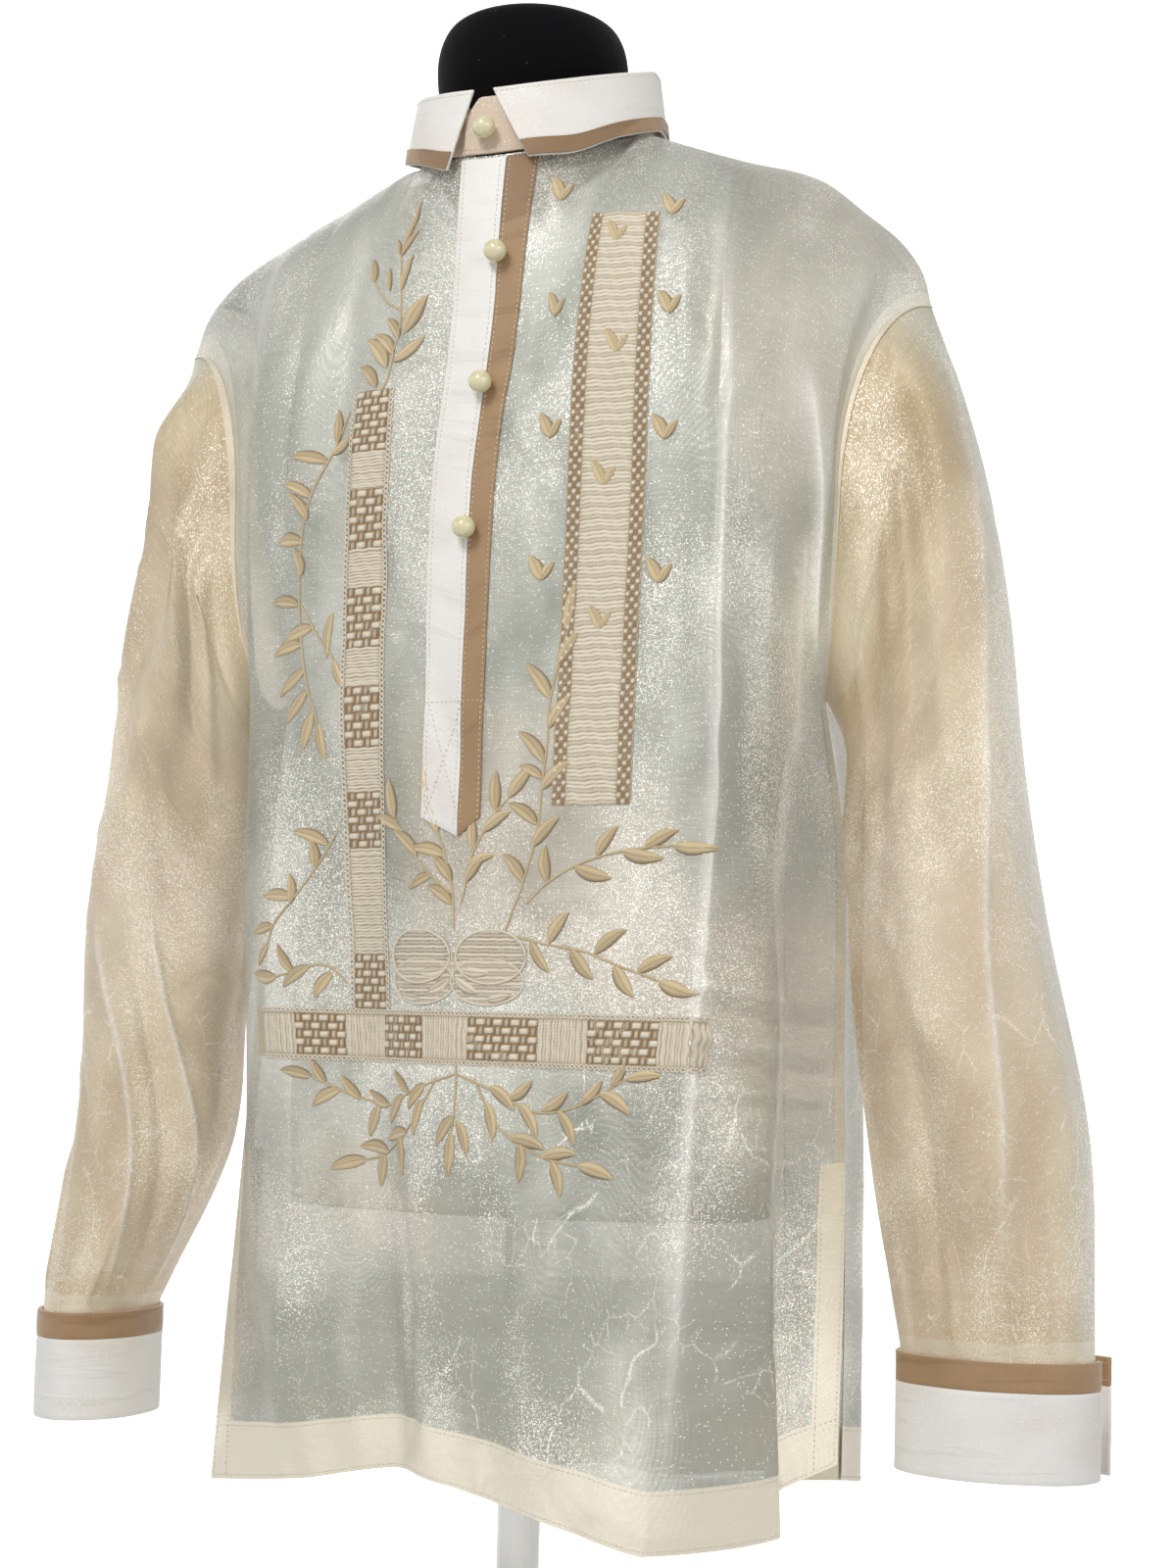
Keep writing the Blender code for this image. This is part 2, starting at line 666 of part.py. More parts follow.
class Grid:
    """A panel's points on its named columns and rows, from which its pieces are made."""

    def __init__(self, panel, columns, rows):
        self.columns = columns
        self.rows = rows
        self.points, self.normals = panel.grid(columns, rows)

    def patch(self, name, look, u_span, v_span, low, high, inset=(0, 0, 0, 0), tail=(0, 0),
              level=None):
        """Wall over part of the grid; inset trims its left, right, lower and upper edge.

        tail is how far the left and right end of its lower edge run on down the panel;
        level is the height that its upper edge runs on to.
        """
        u0, u1 = (nearest(self.columns, u) for u in u_span)
        v0, v1 = (nearest(self.rows, v) for v in v_span)
        points = self.points[v0:v1 + 1, u0:u1 + 1].copy()
        normals = self.normals[v0:v1 + 1, u0:u1 + 1]
        ends = [(points[:, 0], points[:, 1]), (points[:, -1], points[:, -2]),
                (points[0], points[1]), (points[-1], points[-2])]
        if any(tail):
            way = self.points[v0 - 1, u0:u1 + 1] - points[0]
            way /= np.linalg.norm(way, axis=-1, keepdims=True)
            points[0] += way * np.linspace(*tail, len(way))[:, None]
        if level:
            way = self.points[v1 + 1, u0:u1 + 1] - points[-1]
            share = np.clip((level - points[-1, :, 2]) / way[:, 2], LEAST_STRIP, 1)
            points = np.concatenate([points, (points[-1] + way * share[:, None])[None]])
            between = normals[-1] + (self.normals[v1 + 1, u0:u1 + 1] - normals[-1]) * share[:, None]
            normals = np.concatenate([normals, between[None]])
        for (end, beside), trim in zip(ends, inset):
            way = beside - end
            length = np.linalg.norm(way, axis=-1, keepdims=True)
            end += way / length * trim
        return wall(name, look, points, normals, low, high)


def panel_rows(lines):
    """Rows through the given lines, with the armhole's own rows matched to the sleeve's columns."""
    steps = SLEEVE_COLUMNS // 4
    lower = [1 - (1 - ARMPIT_V) * math.sin(math.pi / 2 * k / steps) for k in range(1, steps + 1)]
    upper = [1 + k / steps for k in range(steps + 1)]
    below = spread(ordered([v for v in lines if v < ARMPIT_V - 0.02] + [ARMPIT_V]), ROW_GAP_V)
    fixed = below + lower + upper
    extra = [v for v in lines
             if v > ARMPIT_V and min(abs(v - f) for f in fixed) > LEAST_EXTRA_V]
    return ordered(fixed + extra)


def make_front(panel):
    edge_x = [*NARROW_BAND_X, PLACKET_LEFT_X, PLACKET_JOIN_X, PLACKET_RIGHT_X, *WIDE_BAND_X]
    lines = [panel.u_at(x, BAND_REFERENCE_Z) for x in edge_x]
    narrow = lines[0:2]
    placket = lines[2:5]
    wide = lines[5:7]
    cross = [panel.u_at(x, CROSS_BAND_Z[0]) for x in CROSS_BAND_X]
    fixed = [0.0, FACING_U, cross[0], *lines, *panel.keys[5:8], *neck_corners(panel),
             1 - FACING_U, 1.0]
    columns = spread(ordered(fixed), FRONT_GAP_U)
    columns = ordered(columns + spread(neck_corners(panel), NECK_GAP_U), LEAST_GAP_U)
    middle = placket[1]
    cross_v = [panel.v_at(middle, z) for z in CROSS_BAND_Z]
    narrow_v = [cross_v[1], panel.v_at(narrow[0], NARROW_BAND_Z)]
    wide_v = [panel.v_at(wide[1], z) for z in WIDE_BAND_Z]
    placket_v = [panel.v_at(middle, PLACKET_LOW_Z), PLACKET_TOP_V]
    lines = [0.0, HEM_V, VENT_V, *cross_v, narrow_v[1], *wide_v, *placket_v]
    grid = Grid(panel, columns, panel_rows(lines))
    grid.patch("front", SHEER, (0, 1), (0, 2), -CLOTH, 0.0)
    low = LAYER_GAP
    gap = SEAM_GAP
    grid.patch("placket_panel", WHITE, placket[0:2], placket_v, low, low + TRIM,
               (0, gap, 0, 0), (0, PLACKET_POINT))
    grid.patch("placket_band", BROWN, placket[1:3], placket_v, low, low + TRIM,
               tail=(PLACKET_POINT, 0))
    grid.patch("band_narrow", THREAD, narrow, narrow_v, low, low + BAND, (0, 0, gap, 0))
    grid.patch("band_wide", THREAD, wide, wide_v, low, low + BAND, level=WIDE_BAND_Z[1])
    grid.patch("band_cross", THREAD, cross, cross_v, low, low + BAND)
    under = -CLOTH - FACING_GAP
    hem_u = (FACING_U, 1 - FACING_U)
    grid.patch("hem_front", HEM_LOOK, hem_u, (0, HEM_V), under - FACING, under, (gap, gap, 0, 0))
    facings = {"right": (0, FACING_U), "left": (1 - FACING_U, 1)}
    for side, span in facings.items():
        name = "vent_facing_front_" + side
        trims = (gap, 0, 0, 0) if span[0] == 0 else (0, gap, 0, 0)
        grid.patch(name, HEM_LOOK, span, (0, VENT_V), under - FACING, under, trims)


def make_back(panel):
    fixed = [0.0, FACING_U, *neck_corners(panel), 1 - FACING_U, 1.0]
    columns = spread(ordered(fixed), BACK_GAP_U)
    grid = Grid(panel, columns, panel_rows([0.0, HEM_V, VENT_V]))
    grid.patch("back", SHEER, (0, 1), (0, 2), -CLOTH, 0.0)
    under = -CLOTH - FACING_GAP
    gap = SEAM_GAP
    hem_u = (FACING_U, 1 - FACING_U)
    grid.patch("hem_back", HEM_LOOK, hem_u, (0, HEM_V), under - FACING, under, (gap, gap, 0, 0))
    facings = {"left": (0, FACING_U), "right": (1 - FACING_U, 1)}
    for side, span in facings.items():
        name = "vent_facing_back_" + side
        trims = (gap, 0, 0, 0) if span[0] == 0 else (0, gap, 0, 0)
        grid.patch(name, HEM_LOOK, span, (0, VENT_V), under - FACING, under, trims)


class Sleeve:
    """A sleeve tube: turn runs from its outer side to the front, w from armhole to wrist."""

    def __init__(self, rows, side):
        table = np.array(rows, float) * MM
        self.side = side
        self.level = np.linspace(0, 1, len(rows))
        self.table = table

    def base(self, turn, w):
        row = spline(self.level, self.table, w)
        outer_z, inner_z, centre, half, front, back = row.T
        angle = 2 * math.pi * turn
        level = np.cos(angle)
        swing = np.sin(angle)
        depth = np.where(swing > 0, front, back)
        x = centre + self.side * half * level
        y = -depth * swing
        z = (outer_z + inner_z) / 2 + (outer_z - inner_z) / 2 * level
        body = np.stack([x, y, z], -1)
        start = armhole(turn, self.side)
        blend = np.clip(w / SLEEVE_HEAD_BLEND, 0, 1)[:, None]
        return start * (1 - blend) + body * blend

    def rise(self, turn, w):
        total = np.zeros_like(turn)
        for _, turn_top, turn_low, w_top, w_low, width, rise in SLEEVE_FOLDS:
            along = (w - w_top) / (w_low - w_top)
            middle = turn_top + (turn_low - turn_top) * np.clip(along, 0, 1)
            away = (turn - middle + 0.5) % 1.0 - 0.5
            end = 1.0 if w_low >= 1 else smooth((1 - along) / 0.3)
            total += rise * MM * np.exp(-(away / width) ** 2) * smooth(along / 0.25) * end
        return total * (1 - 0.75 * smooth((w - 0.85) / 0.15))

    def normal(self, turn, w):
        step = 0.003
        around = self.base(turn + step, w) - self.base(turn - step, w)
        down = self.base(turn, np.minimum(w + step, 1)) - self.base(turn, np.maximum(w - step, 0))
        normal = np.cross(around, down) * self.side
        return normal / np.linalg.norm(normal, axis=1)[:, None]

    def point(self, turn, w):
        turn = np.asarray(turn, float)
        w = np.asarray(w, float)
        return self.base(turn, w) + self.normal(turn, w) * self.rise(turn, w)[:, None]

    def grid(self, turns, levels):
        turn, w = np.meshgrid(turns, levels)
        points = self.point(turn.ravel(), w.ravel()).reshape(len(levels), len(turns), 3)
        return points


def make_sleeve(sleeve, label):
    turns = np.arange(SLEEVE_COLUMNS) / SLEEVE_COLUMNS
    levels = np.linspace(0, 1, SLEEVE_ROWS)
    points = sleeve.grid(turns, levels)
    way = points[1] - points[0]
    points[0] += way / np.linalg.norm(way, axis=1)[:, None] * SLEEVE_GAP
    if sleeve.side < 0:
        points = points[:, ::-1]
    normals = grid_normals(points, True)
    wall("sleeve_" + label, SHEER_WARM, points, normals, -CLOTH, 0.0, closed=True)


def cuff_ring(sleeve, turns, z, outward):
    """Points round the wrist at a height; the loose end swings out as the underlap."""
    wrist = sleeve.base(turns, np.ones(len(turns)))
    centre = wrist.mean(axis=0)
    away = wrist - centre
    away[:, 2] = 0
    away /= np.linalg.norm(away, axis=1)[:, None]
    flare = CUFF_FLARE[sleeve.side] * smooth(1 - (CUFF_END_TURN - turns) / CUFF_FLARE_TURN)
    points = wrist + away * (outward + flare)[:, None]
    points[:, 2] = z
    return points


def make_cuff(sleeve, label):
    """The cuff is open at the back of the wrist, so both its walls are C-shaped."""
    top = float(sleeve.table[-1, 0]) - CUFF_DROP
    turns = np.linspace(CUFF_START_TURN, CUFF_END_TURN, CUFF_COLUMNS)
    parts = [
        ("cuff_band_" + label, BROWN, top, top - CUFF_BAND_HEIGHT),
        ("cuff_" + label, WHITE, top - CUFF_BAND_HEIGHT - SEAM_GAP,
         top - CUFF_BAND_HEIGHT - SEAM_GAP - CUFF_HEIGHT),
    ]
    for name, look, high, low in parts:
        rings = [cuff_ring(sleeve, turns, z, CUFF_OUT * np.ones(len(turns))) for z in
                 np.linspace(high, low, 2)]
        points = np.array(rings)
        if sleeve.side < 0:
            points = points[:, ::-1]
        normals = grid_normals(points, False)
        wall(name, look, points, normals, -CUFF, 0.0)
    make_cuff_button(sleeve, label, top - CUFF_BAND_HEIGHT - CUFF_HEIGHT / 2)


def make_cuff_button(sleeve, label, z):
    """Flat button sewn on the outside of the cuff's underlap."""
    turn = CUFF_BUTTON_TURN + np.array([-0.01, 0.0, 0.01])
    before, point, after = cuff_ring(sleeve, turn, z, CUFF_OUT * np.ones(3))
    tangent = after - before
    away = np.array([tangent[1], -tangent[0], 0.0]) * -sleeve.side
    away /= np.linalg.norm(away)
    button = lathe("cuff_button_" + label, PEARL, [
        (CUFF_BUTTON_RADIUS, -CUFF_BUTTON_THICKNESS / 2),
        (CUFF_BUTTON_RADIUS, CUFF_BUTTON_THICKNESS / 2),
    ], (0.0, 0.0), 20)
    button.location = point + away * (CUFF_BUTTON_THICKNESS / 2 + LAYER_GAP)
    button.rotation_euler = (math.pi / 2, 0.0, math.atan2(away[1], away[0]) + math.pi / 2)


def make_collar():
    """Stand round the neckline, the fall that turns down over it and the fall's trim."""
    turns = np.array(spread([STAND_LEFT_END, 90, 180, 270, STAND_RIGHT_END], STAND_STEP))
    ends = smooth(np.minimum(turns - STAND_LEFT_END, STAND_RIGHT_END - turns) / STAND_END_TURN)
    rings = []
    for part in (0.0, 0.5, 1.0):
        ring = neckline(turns)
        rounding = 1 - STAND_END_ROUND * (1 - ends) * part
        ring[:, 2] += STAND_SEAM + STAND_HEIGHT * part * rounding
        rings.append(ring)
    points = np.array(rings)
    normals = grid_normals(points, False)
    wall("collar_stand", WHITE, points, normals, -COLLAR / 2, COLLAR / 2)
    levels = [0.0, COLLAR_BAND_HEIGHT / FALL_HEIGHT, 0.6, 1.0]
    steps = np.linspace(0, 1, FALL_COLUMNS)
    rings = []
    for part in levels:
        first = FALL_LEFT_TIP + (FALL_LEFT_TOP - FALL_LEFT_TIP) * part
        last = FALL_RIGHT_TIP + (FALL_RIGHT_TOP - FALL_RIGHT_TIP) * part
        turn = first + (last - first) * steps
        ring = neckline(turn)
        out = FALL_LOW_OUT + (FALL_TOP_OUT - FALL_LOW_OUT) * part
        away = ring - np.array([0, NECK_CENTRE_Y, 0])
        away[:, 2] = 0
        away /= np.linalg.norm(away, axis=1)[:, None]
        ring += away * out
        drop = FALL_TIP_DROP * np.clip(np.cos(np.radians(turn)), 0, 1) ** 2
        ring[:, 2] += STAND_HEIGHT + FALL_TOP_UP - (FALL_HEIGHT + drop) * (1 - part)
        rings.append(ring)
    points = np.array(rings)
    normals = grid_normals(points, False)
    wall("collar_fall", WHITE, points, normals, -COLLAR, 0.0)
    wall("collar_band", BROWN, points[:2], normals[:2], LAYER_GAP, LAYER_GAP + TRIM)


def make_buttons(panel):
    """Pearl balls fastened down the placket, the top one on the collar stand."""
    u = panel.u_at(PLACKET_JOIN_X, BAND_REFERENCE_Z)
    away = LAYER_GAP * 2 + TRIM + BUTTON_RADIUS
    for index, z in enumerate(BUTTON_Z):
        v = panel.v_at(u, z)
        points, normals = panel.grid([u, u + 0.01], [v, v + 0.01])
        ball(f"button_{index + 2}", PEARL, points[0, 0] + normals[0, 0] * away, BUTTON_RADIUS)
    front = neckline(np.array([COLLAR_BUTTON_TURN]))[0]
    front[1] -= COLLAR / 2 + LAYER_GAP + BUTTON_RADIUS
    front[2] = COLLAR_BUTTON_Z
    ball("button_1", PEARL, front, BUTTON_RADIUS)


def form_row(panel, v):
    """Form's surface just inside a panel, on a row at or over the chest."""
    columns = np.linspace(FORM_EDGE_U, 1 - FORM_EDGE_U, FORM_COLUMNS)
    rows = np.full(FORM_COLUMNS, v)
    step = 0.004
    across_way = panel.base(columns + step, rows) - panel.base(columns - step, rows)
    up_way = panel.base(columns, np.minimum(rows + step, 2)) - panel.base(columns, rows - step)
    normal = np.cross(across_way, up_way)
    normal /= np.linalg.norm(normal, axis=1)[:, None]
    q = np.abs(np.interp(columns, panel.keys, panel.top_q))
    seat = np.exp(-((q - FORM_SEAT_Q) / FORM_SEAT_WIDTH) ** 2) * smooth((v - 1.9) / 0.1)
    gap = FORM_SLACK + (FORM_RIDGE_SLACK - FORM_SLACK) * smooth(v - 1)
    gap = gap + FORM_TIP_DROP * (smooth((q - 1.55) / 0.4) + smooth((1.15 - q) / 0.2))
    gap += (FORM_GAP - gap) * seat
    away = CLOTH + gap - np.minimum(panel.rise(columns, rows), 0)
    point = panel.base(columns, rows) - normal * away[:, None]
    if v == 2:
        point[:, 1] += FORM_RIDGE if panel.back else -FORM_RIDGE
    return point


def neck_floor(x, y):
    """Height of the form's top between the front and back of the neckline."""
    half = np.where(x > 0, NECK_LEFT_WIDTH, NECK_RIGHT_WIDTH)
    turn = np.degrees(np.arcsin(np.clip(x / half, -0.97, 0.97)))
    front = neckline(turn)
    back = neckline(180.0 - turn)
    share = (y - front[..., 1]) / (back[..., 1] - front[..., 1])
    return front[..., 2] + (back[..., 2] - front[..., 2]) * share


def make_form(front, back):
    """Limbless torso that carries the shirt at the shoulders, its neck, pole and base."""
    rings = []
    sweep = np.linspace(-1, 1, FORM_COLUMNS) * math.pi / 2 * FORM_SWEEP
    for z_mm, half, deep, behind in FORM_SECTIONS:
        row = []
        for way, depth in ((1, deep), (-1, behind)):
            x = way * half * MM * np.sin(sweep)
            y = -way * depth * MM * np.cos(sweep) ** FORM_ROUNDNESS
            row.append(np.stack([x, y, np.full(FORM_COLUMNS, z_mm * MM)], -1))
        rings.append(np.concatenate(row))
    for v in FORM_ROWS:
        rings.append(np.concatenate([form_row(front, v), form_row(back, v)]))
    points = np.array(rings)
    rows, columns = points.shape[:2]
    faces = []
    for row in range(rows - 1):
        for column in range(columns):
            a = row * columns + column
            b = row * columns + (column + 1) % columns
            faces.append((a, b, b + columns, a + columns))
    faces.append(tuple(reversed(range(columns))))
    top = (rows - 1) * columns
    for column in range(FORM_COLUMNS - 1):
        a = top + column
        d = top + 2 * FORM_COLUMNS - 1 - column
        faces.append((a, a + 1, d - 1, d))
    add_object("dress_form", points.reshape(-1, 3), faces, COVER)
    make_form_neck()
    centre = (0.0, 0.0)
    pole_top = FORM_SECTIONS[0][0] * MM - LAYER_GAP
    pole = [(POLE_RADIUS, BASE_HEIGHT + LAYER_GAP), (POLE_RADIUS, pole_top)]
    lathe("stand_pole", ENAMEL, pole, centre, 20)
    edge = BASE_BEVEL
    base = [(BASE_RADIUS - edge, 0.0), (BASE_RADIUS, edge), (BASE_RADIUS, BASE_HEIGHT - edge),
            (BASE_RADIUS - edge, BASE_HEIGHT)]
    lathe("stand_base", ENAMEL, base, centre, 48)


def make_form_neck():
    """Neck of the form: it stands on the torso inside the collar and ends in a low dome."""
    sides = 28
    angle = 2 * math.pi * np.arange(sides) / sides
    rings = []
    for radius, height, lean in FORM_NECK_RINGS:
        x = radius * MM * np.cos(angle)
        y = lean * MM + radius * MM * np.sin(angle)
        if height is None:
            z = neck_floor(x, y) + NECK_SEAT
        else:
            z = np.full(sides, height * MM)
        rings.append(np.stack([x, y, z], -1))
    vertices = list(np.array(rings).reshape(-1, 3))
    faces = []
    for ring in range(len(rings) - 1):
        for step in range(sides):
            a = ring * sides + step
            b = ring * sides + (step + 1) % sides
            faces.append((a, b, b + sides, a + sides))
    lean = FORM_NECK_RINGS[0][2] * MM
    floor = float(neck_floor(np.array(0.0), np.array(lean))) + NECK_SEAT
    vertices.append(np.array([0.0, lean, floor]))
    hub = len(vertices) - 1
    for step in range(sides):
        faces.append((hub, (step + 1) % sides, step))
    top = (len(rings) - 1) * sides
    faces.append(tuple(range(top, top + sides)))
    add_object("form_neck", vertices, faces, VELVET)


def clear_scene():
    for item in list(bpy.data.objects):
        bpy.data.objects.remove(item, do_unlink=True)


def main():
    clear_scene()
    front = Panel(FRONT_SECTIONS, FRONT_HEM, FRONT_TOP, FRONT_SHARP, FRONT_FOLDS, False)
    back = Panel(BACK_SECTIONS, BACK_HEM, BACK_TOP, BACK_SHARP, BACK_FOLDS, True)
    make_front(front)
    make_back(back)
    for label, side, rows in (("left", 1, LEFT_SLEEVE), ("right", -1, RIGHT_SLEEVE)):
        sleeve = Sleeve(rows, side)
        make_sleeve(sleeve, label)
        make_cuff(sleeve, label)
    make_collar()
    make_buttons(front)
    make_form(front, back)


main()
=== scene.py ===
"""Looks of a barong tagalog shirt worn by a limbless dress form.

Metres, +Z up, front toward -Y, the wearer's left toward +X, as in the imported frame.
The panels' sections and folds repeat the solids', so each thin cloth lies on its own solid.
"""
import math

import bpy
import numpy as np
from mathutils import Matrix, Vector


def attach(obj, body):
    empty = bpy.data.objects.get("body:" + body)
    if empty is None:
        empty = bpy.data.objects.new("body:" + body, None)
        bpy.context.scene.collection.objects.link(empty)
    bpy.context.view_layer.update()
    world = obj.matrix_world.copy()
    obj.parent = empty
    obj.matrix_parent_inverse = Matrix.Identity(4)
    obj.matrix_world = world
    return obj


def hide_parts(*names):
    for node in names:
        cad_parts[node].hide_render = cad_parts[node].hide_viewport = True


MM = 0.001
RANDOM_SEED = 11

# Camera: where it stands, how it is turned, and its lens
CAMERA_TURN = 22.0
CAMERA_DISTANCE = 1.55
CAMERA_HEIGHT = 0.38
CAMERA_TILT = 5.0
CAMERA_ROLL = 1.5
CAMERA_PAN = 50 / 2790
SENSOR_HEIGHT = 36.0
CAMERA_LENS = SENSOR_HEIGHT * 2790 / 1600

# Driving sizes
CHEST_Z = 668 * MM
ARMPIT_Z = 560 * MM
TIP_Z = 777 * MM
NECK_CENTRE_Y = -33 * MM
NECK_LEFT_WIDTH = 68 * MM
NECK_RIGHT_WIDTH = 62 * MM
NECK_FRONT = 72 * MM
NECK_BACK = 60 * MM
NECKLINE_FRONT_Z = 848 * MM
NECKLINE_LEFT_RISE = 28 * MM
NECKLINE_RIGHT_RISE = 19 * MM
NECKLINE_BACK_RISE = 4 * MM

# Wall thicknesses and gaps
CLOTH = 1.2 * MM
TRIM = 1.0 * MM
COLLAR = 2.0 * MM
CUFF = 2.2 * MM
SEAM_GAP = 0.05 * MM
LAYER_GAP = 0.3 * MM
FORM_GAP = 0.9 * MM

# Armhole loops by side (+1 the wearer's left): x at the tip, halfway down and at the armpit,
# then how far both loops bulge to the front and back
ARMHOLE_X = {
    1: (223 * MM, 186 * MM, 168 * MM),
    -1: (235 * MM, 176 * MM, 168 * MM),
}
ARMHOLE_FRONT = 46 * MM
ARMHOLE_BACK = 50 * MM
ARMHOLE_TOP_Y = 4 * MM

# Front panel, one row for each height: x and y of each key line in mm, from the wearer's right
FRONT_SECTIONS = [
    # z,   round_r,      band_r,       centre,     band_l,      crease,      fold,        dip
    (110, (-112, -60), (-38, -88), (5, -118), (66, -135), (122, -143), (171, -66), (158, -44)),
    (250, (-130, -66), (-44, -98), (4, -120), (76, -134), (131, -139), (166, -75), (160, -50)),
    (370, (-141, -68), (-52, -106), (3, -121), (80, -131), (138, -134), (163, -83), (165, -52)),
    (480, (-146, -70), (-56, -110), (3, -121), (80, -126), (143, -127), (162, -86), (167, -46)),
    (570, (-144, -72), (-59, -112), (3, -120), (80, -121), (141, -119), (161, -86), (165, -46)),
    (668, (-140, -86), (-60, -112), (3, -117), (80, -114), (139, -110), (164, -84), (178, -64)),
]

# Back panel, from the wearer's left
BACK_SECTIONS = [
    # z,   round_l,    blade_l,    centre,    blade_r,     round_r
    (110, (158, 76), (92, 134), (0, 128), (-90, 134), (-158, 74)),
    (250, (158, 72), (90, 132), (0, 126), (-88, 132), (-156, 72)),
    (370, (156, 70), (88, 130), (0, 125), (-86, 130), (-153, 70)),
    (480, (154, 74), (86, 130), (0, 126), (-84, 130), (-151, 74)),
    (570, (154, 80), (84, 130), (0, 128), (-84, 130), (-150, 80)),
    (668, (150, 90), (80, 128), (0, 126), (-80, 128), (-150, 90)),
]

# Side seams below the armhole: height, then x and y on the wearer's right and left
SIDE_SEAMS = [
    # z,   right,        left
    (110, (-190, -2), (189, -22)),
    (250, (-182, -3), (189, -17)),
    (370, (-175, -3), (185, -10)),
    (480, (-173, -2), (181, -4)),
    (560, (-168, 0), (168, 0)),
]
VENT_TOP = {"right": 300 * MM, "left": 305 * MM}
VENT_SPREAD = 5 * MM
VENT_LOW_Z = 110 * MM

# Heights at which the key lines and the bands are placed across the panels
KEY_REFERENCE_Z = 480 * MM
BAND_REFERENCE_Z = 600 * MM

# Height of the hem under each key line, in mm
FRONT_HEM = (112, 126, 141, 141, 131, 119, 120, 136, 153)
BACK_HEM = (144, 128, 118, 116, 118, 120, 114)

# Where each key line ends at the top: 0 centre, 1 neck corner, 2 shoulder tip
FRONT_TOP = (-2.0, -1.34, -0.62, 0.0, 1.0, 1.26, 1.5, 1.76, 2.0)
BACK_TOP = (2.0, 1.42, 0.9, 0.0, -0.9, -1.42, -2.0)

# Degrees by which the curve from the chest to the top edge is flatter at the neck's centre
NECK_FLATTEN = 42.0

# Sharpness of each key line across a section: 0 round, 1 a pressed corner
FRONT_SHARP = (0, 0, 0.15, 0, 0, 0.85, 0.45, 0.2, 0)
BACK_SHARP = (0, 0, 0, 0, 0, 0, 0)

# Shoulder seams by side, from the neck corner to the tip: x outward, y and z in mm
SHOULDER = {
    1: [
        (68, -33, 876), (115, -8, 863), (160, 2, 852), (187, 4, 831),
        (206, 4, 814), (218, 4, 796), (223, 4, 777),
    ],
    -1: [
        (62, -33, 867), (115, -8, 855), (160, 2, 842), (190, 4, 831),
        (212, 4, 818), (227, 4, 800), (235, 4, 777),
    ],
}

# How far the front opening leans across the panel: its columns, rows and amount
LEAN_U = (0.37, 0.43, 0.50, 0.578)
LEAN_V = (0.9, 1.5)
LEAN = 0.0185

# Parts of a fold's length over which it starts and ends, and of a panel's width at its sides
FOLD_START = 0.25
FOLD_END = 0.3
FOLD_EDGE_U = 0.06

# Soft folds: across position at the top and bottom, height range (0 hem, 1 chest, 2 seam),
# half width across and outward rise in mm
FRONT_FOLDS = [
    # u_top, u_low, v_low, v_top, width, rise
    (0.115, 0.155, 0.60, 1.90, 0.040, 5.0),
    (0.060, 0.075, 0.55, 1.95, 0.035, -4.0),
    (0.935, 0.960, 0.80, 1.90, 0.028, 5.0),
    (0.230, 0.215, 0.00, 0.95, 0.050, 5.0),
    (0.320, 0.345, 0.00, 0.80, 0.045, -5.0),
    (0.640, 0.620, 0.00, 0.60, 0.050, 4.0),
]
BACK_FOLDS = [
    (0.14, 0.12, 0.00, 1.55, 0.042, 12.0),
    (0.23, 0.22, 0.00, 1.50, 0.042, -16.0),
    (0.34, 0.33, 0.00, 1.50, 0.042, 15.0),
    (0.43, 0.43, 0.00, 1.45, 0.038, -15.0),
    (0.50, 0.50, 0.00, 1.45, 0.036, 13.0),
    (0.57, 0.57, 0.00, 1.45, 0.038, -15.0),
    (0.66, 0.67, 0.00, 1.50, 0.042, 15.0),
    (0.77, 0.78, 0.00, 1.50, 0.042, -16.0),
    (0.86, 0.88, 0.00, 1.55, 0.042, 12.0),
]

# Sleeves, one row for each ring: heights of its outer and inner side, centre, half width,
# depth to the front and back, in mm
LEFT_SLEEVE = [
    # outer z, inner z, centre x, half width, front, back
    (777, 560, 195.5, 27.5, 46, 50),
    (732, 538, 210, 30, 54, 56),
    (675, 510, 221, 35, 62, 62),
    (607, 476, 228, 40, 68, 66),
    (523, 430, 234, 43, 70, 66),
    (438, 378, 243, 48, 66, 62),
    (325, 300, 260, 55, 52, 48),
    (213, 213, 268, 51, 32, 28),
]
RIGHT_SLEEVE = [
    # outer z, inner z, centre x, half width, front, back
    (777, 560, -201.5, 33.5, 46, 50),
    (732, 540, -206, 33, 50, 54),
    (675, 512, -207, 33, 56, 60),
    (607, 478, -217, 38, 62, 62),
    (523, 430, -226, 42, 64, 62),
    (438, 378, -234, 44, 62, 60),
    (325, 300, -239, 44, 52, 50),
    (206, 206, -271, 28, 46, 46),
]
SLEEVE_HEAD_BLEND = 0.12
SLEEVE_FOLDS = [
    # angle_top, angle_low, w_top, w_low, width, rise: angles in turns from outer to front
    (0.10, 0.12, 0.02, 0.55, 0.050, 6.0),
    (0.17, 0.18, 0.02, 0.60, 0.045, -6.0),
    (0.24, 0.22, 0.05, 1.00, 0.045, 6.0),
    (0.33, 0.34, 0.10, 0.95, 0.050, -5.0),
    (0.43, 0.45, 0.20, 1.00, 0.045, 4.0),
    (0.66, 0.66, 0.10, 0.95, 0.060, -5.0),
    (0.78, 0.80, 0.10, 0.95, 0.060, 5.0),
]

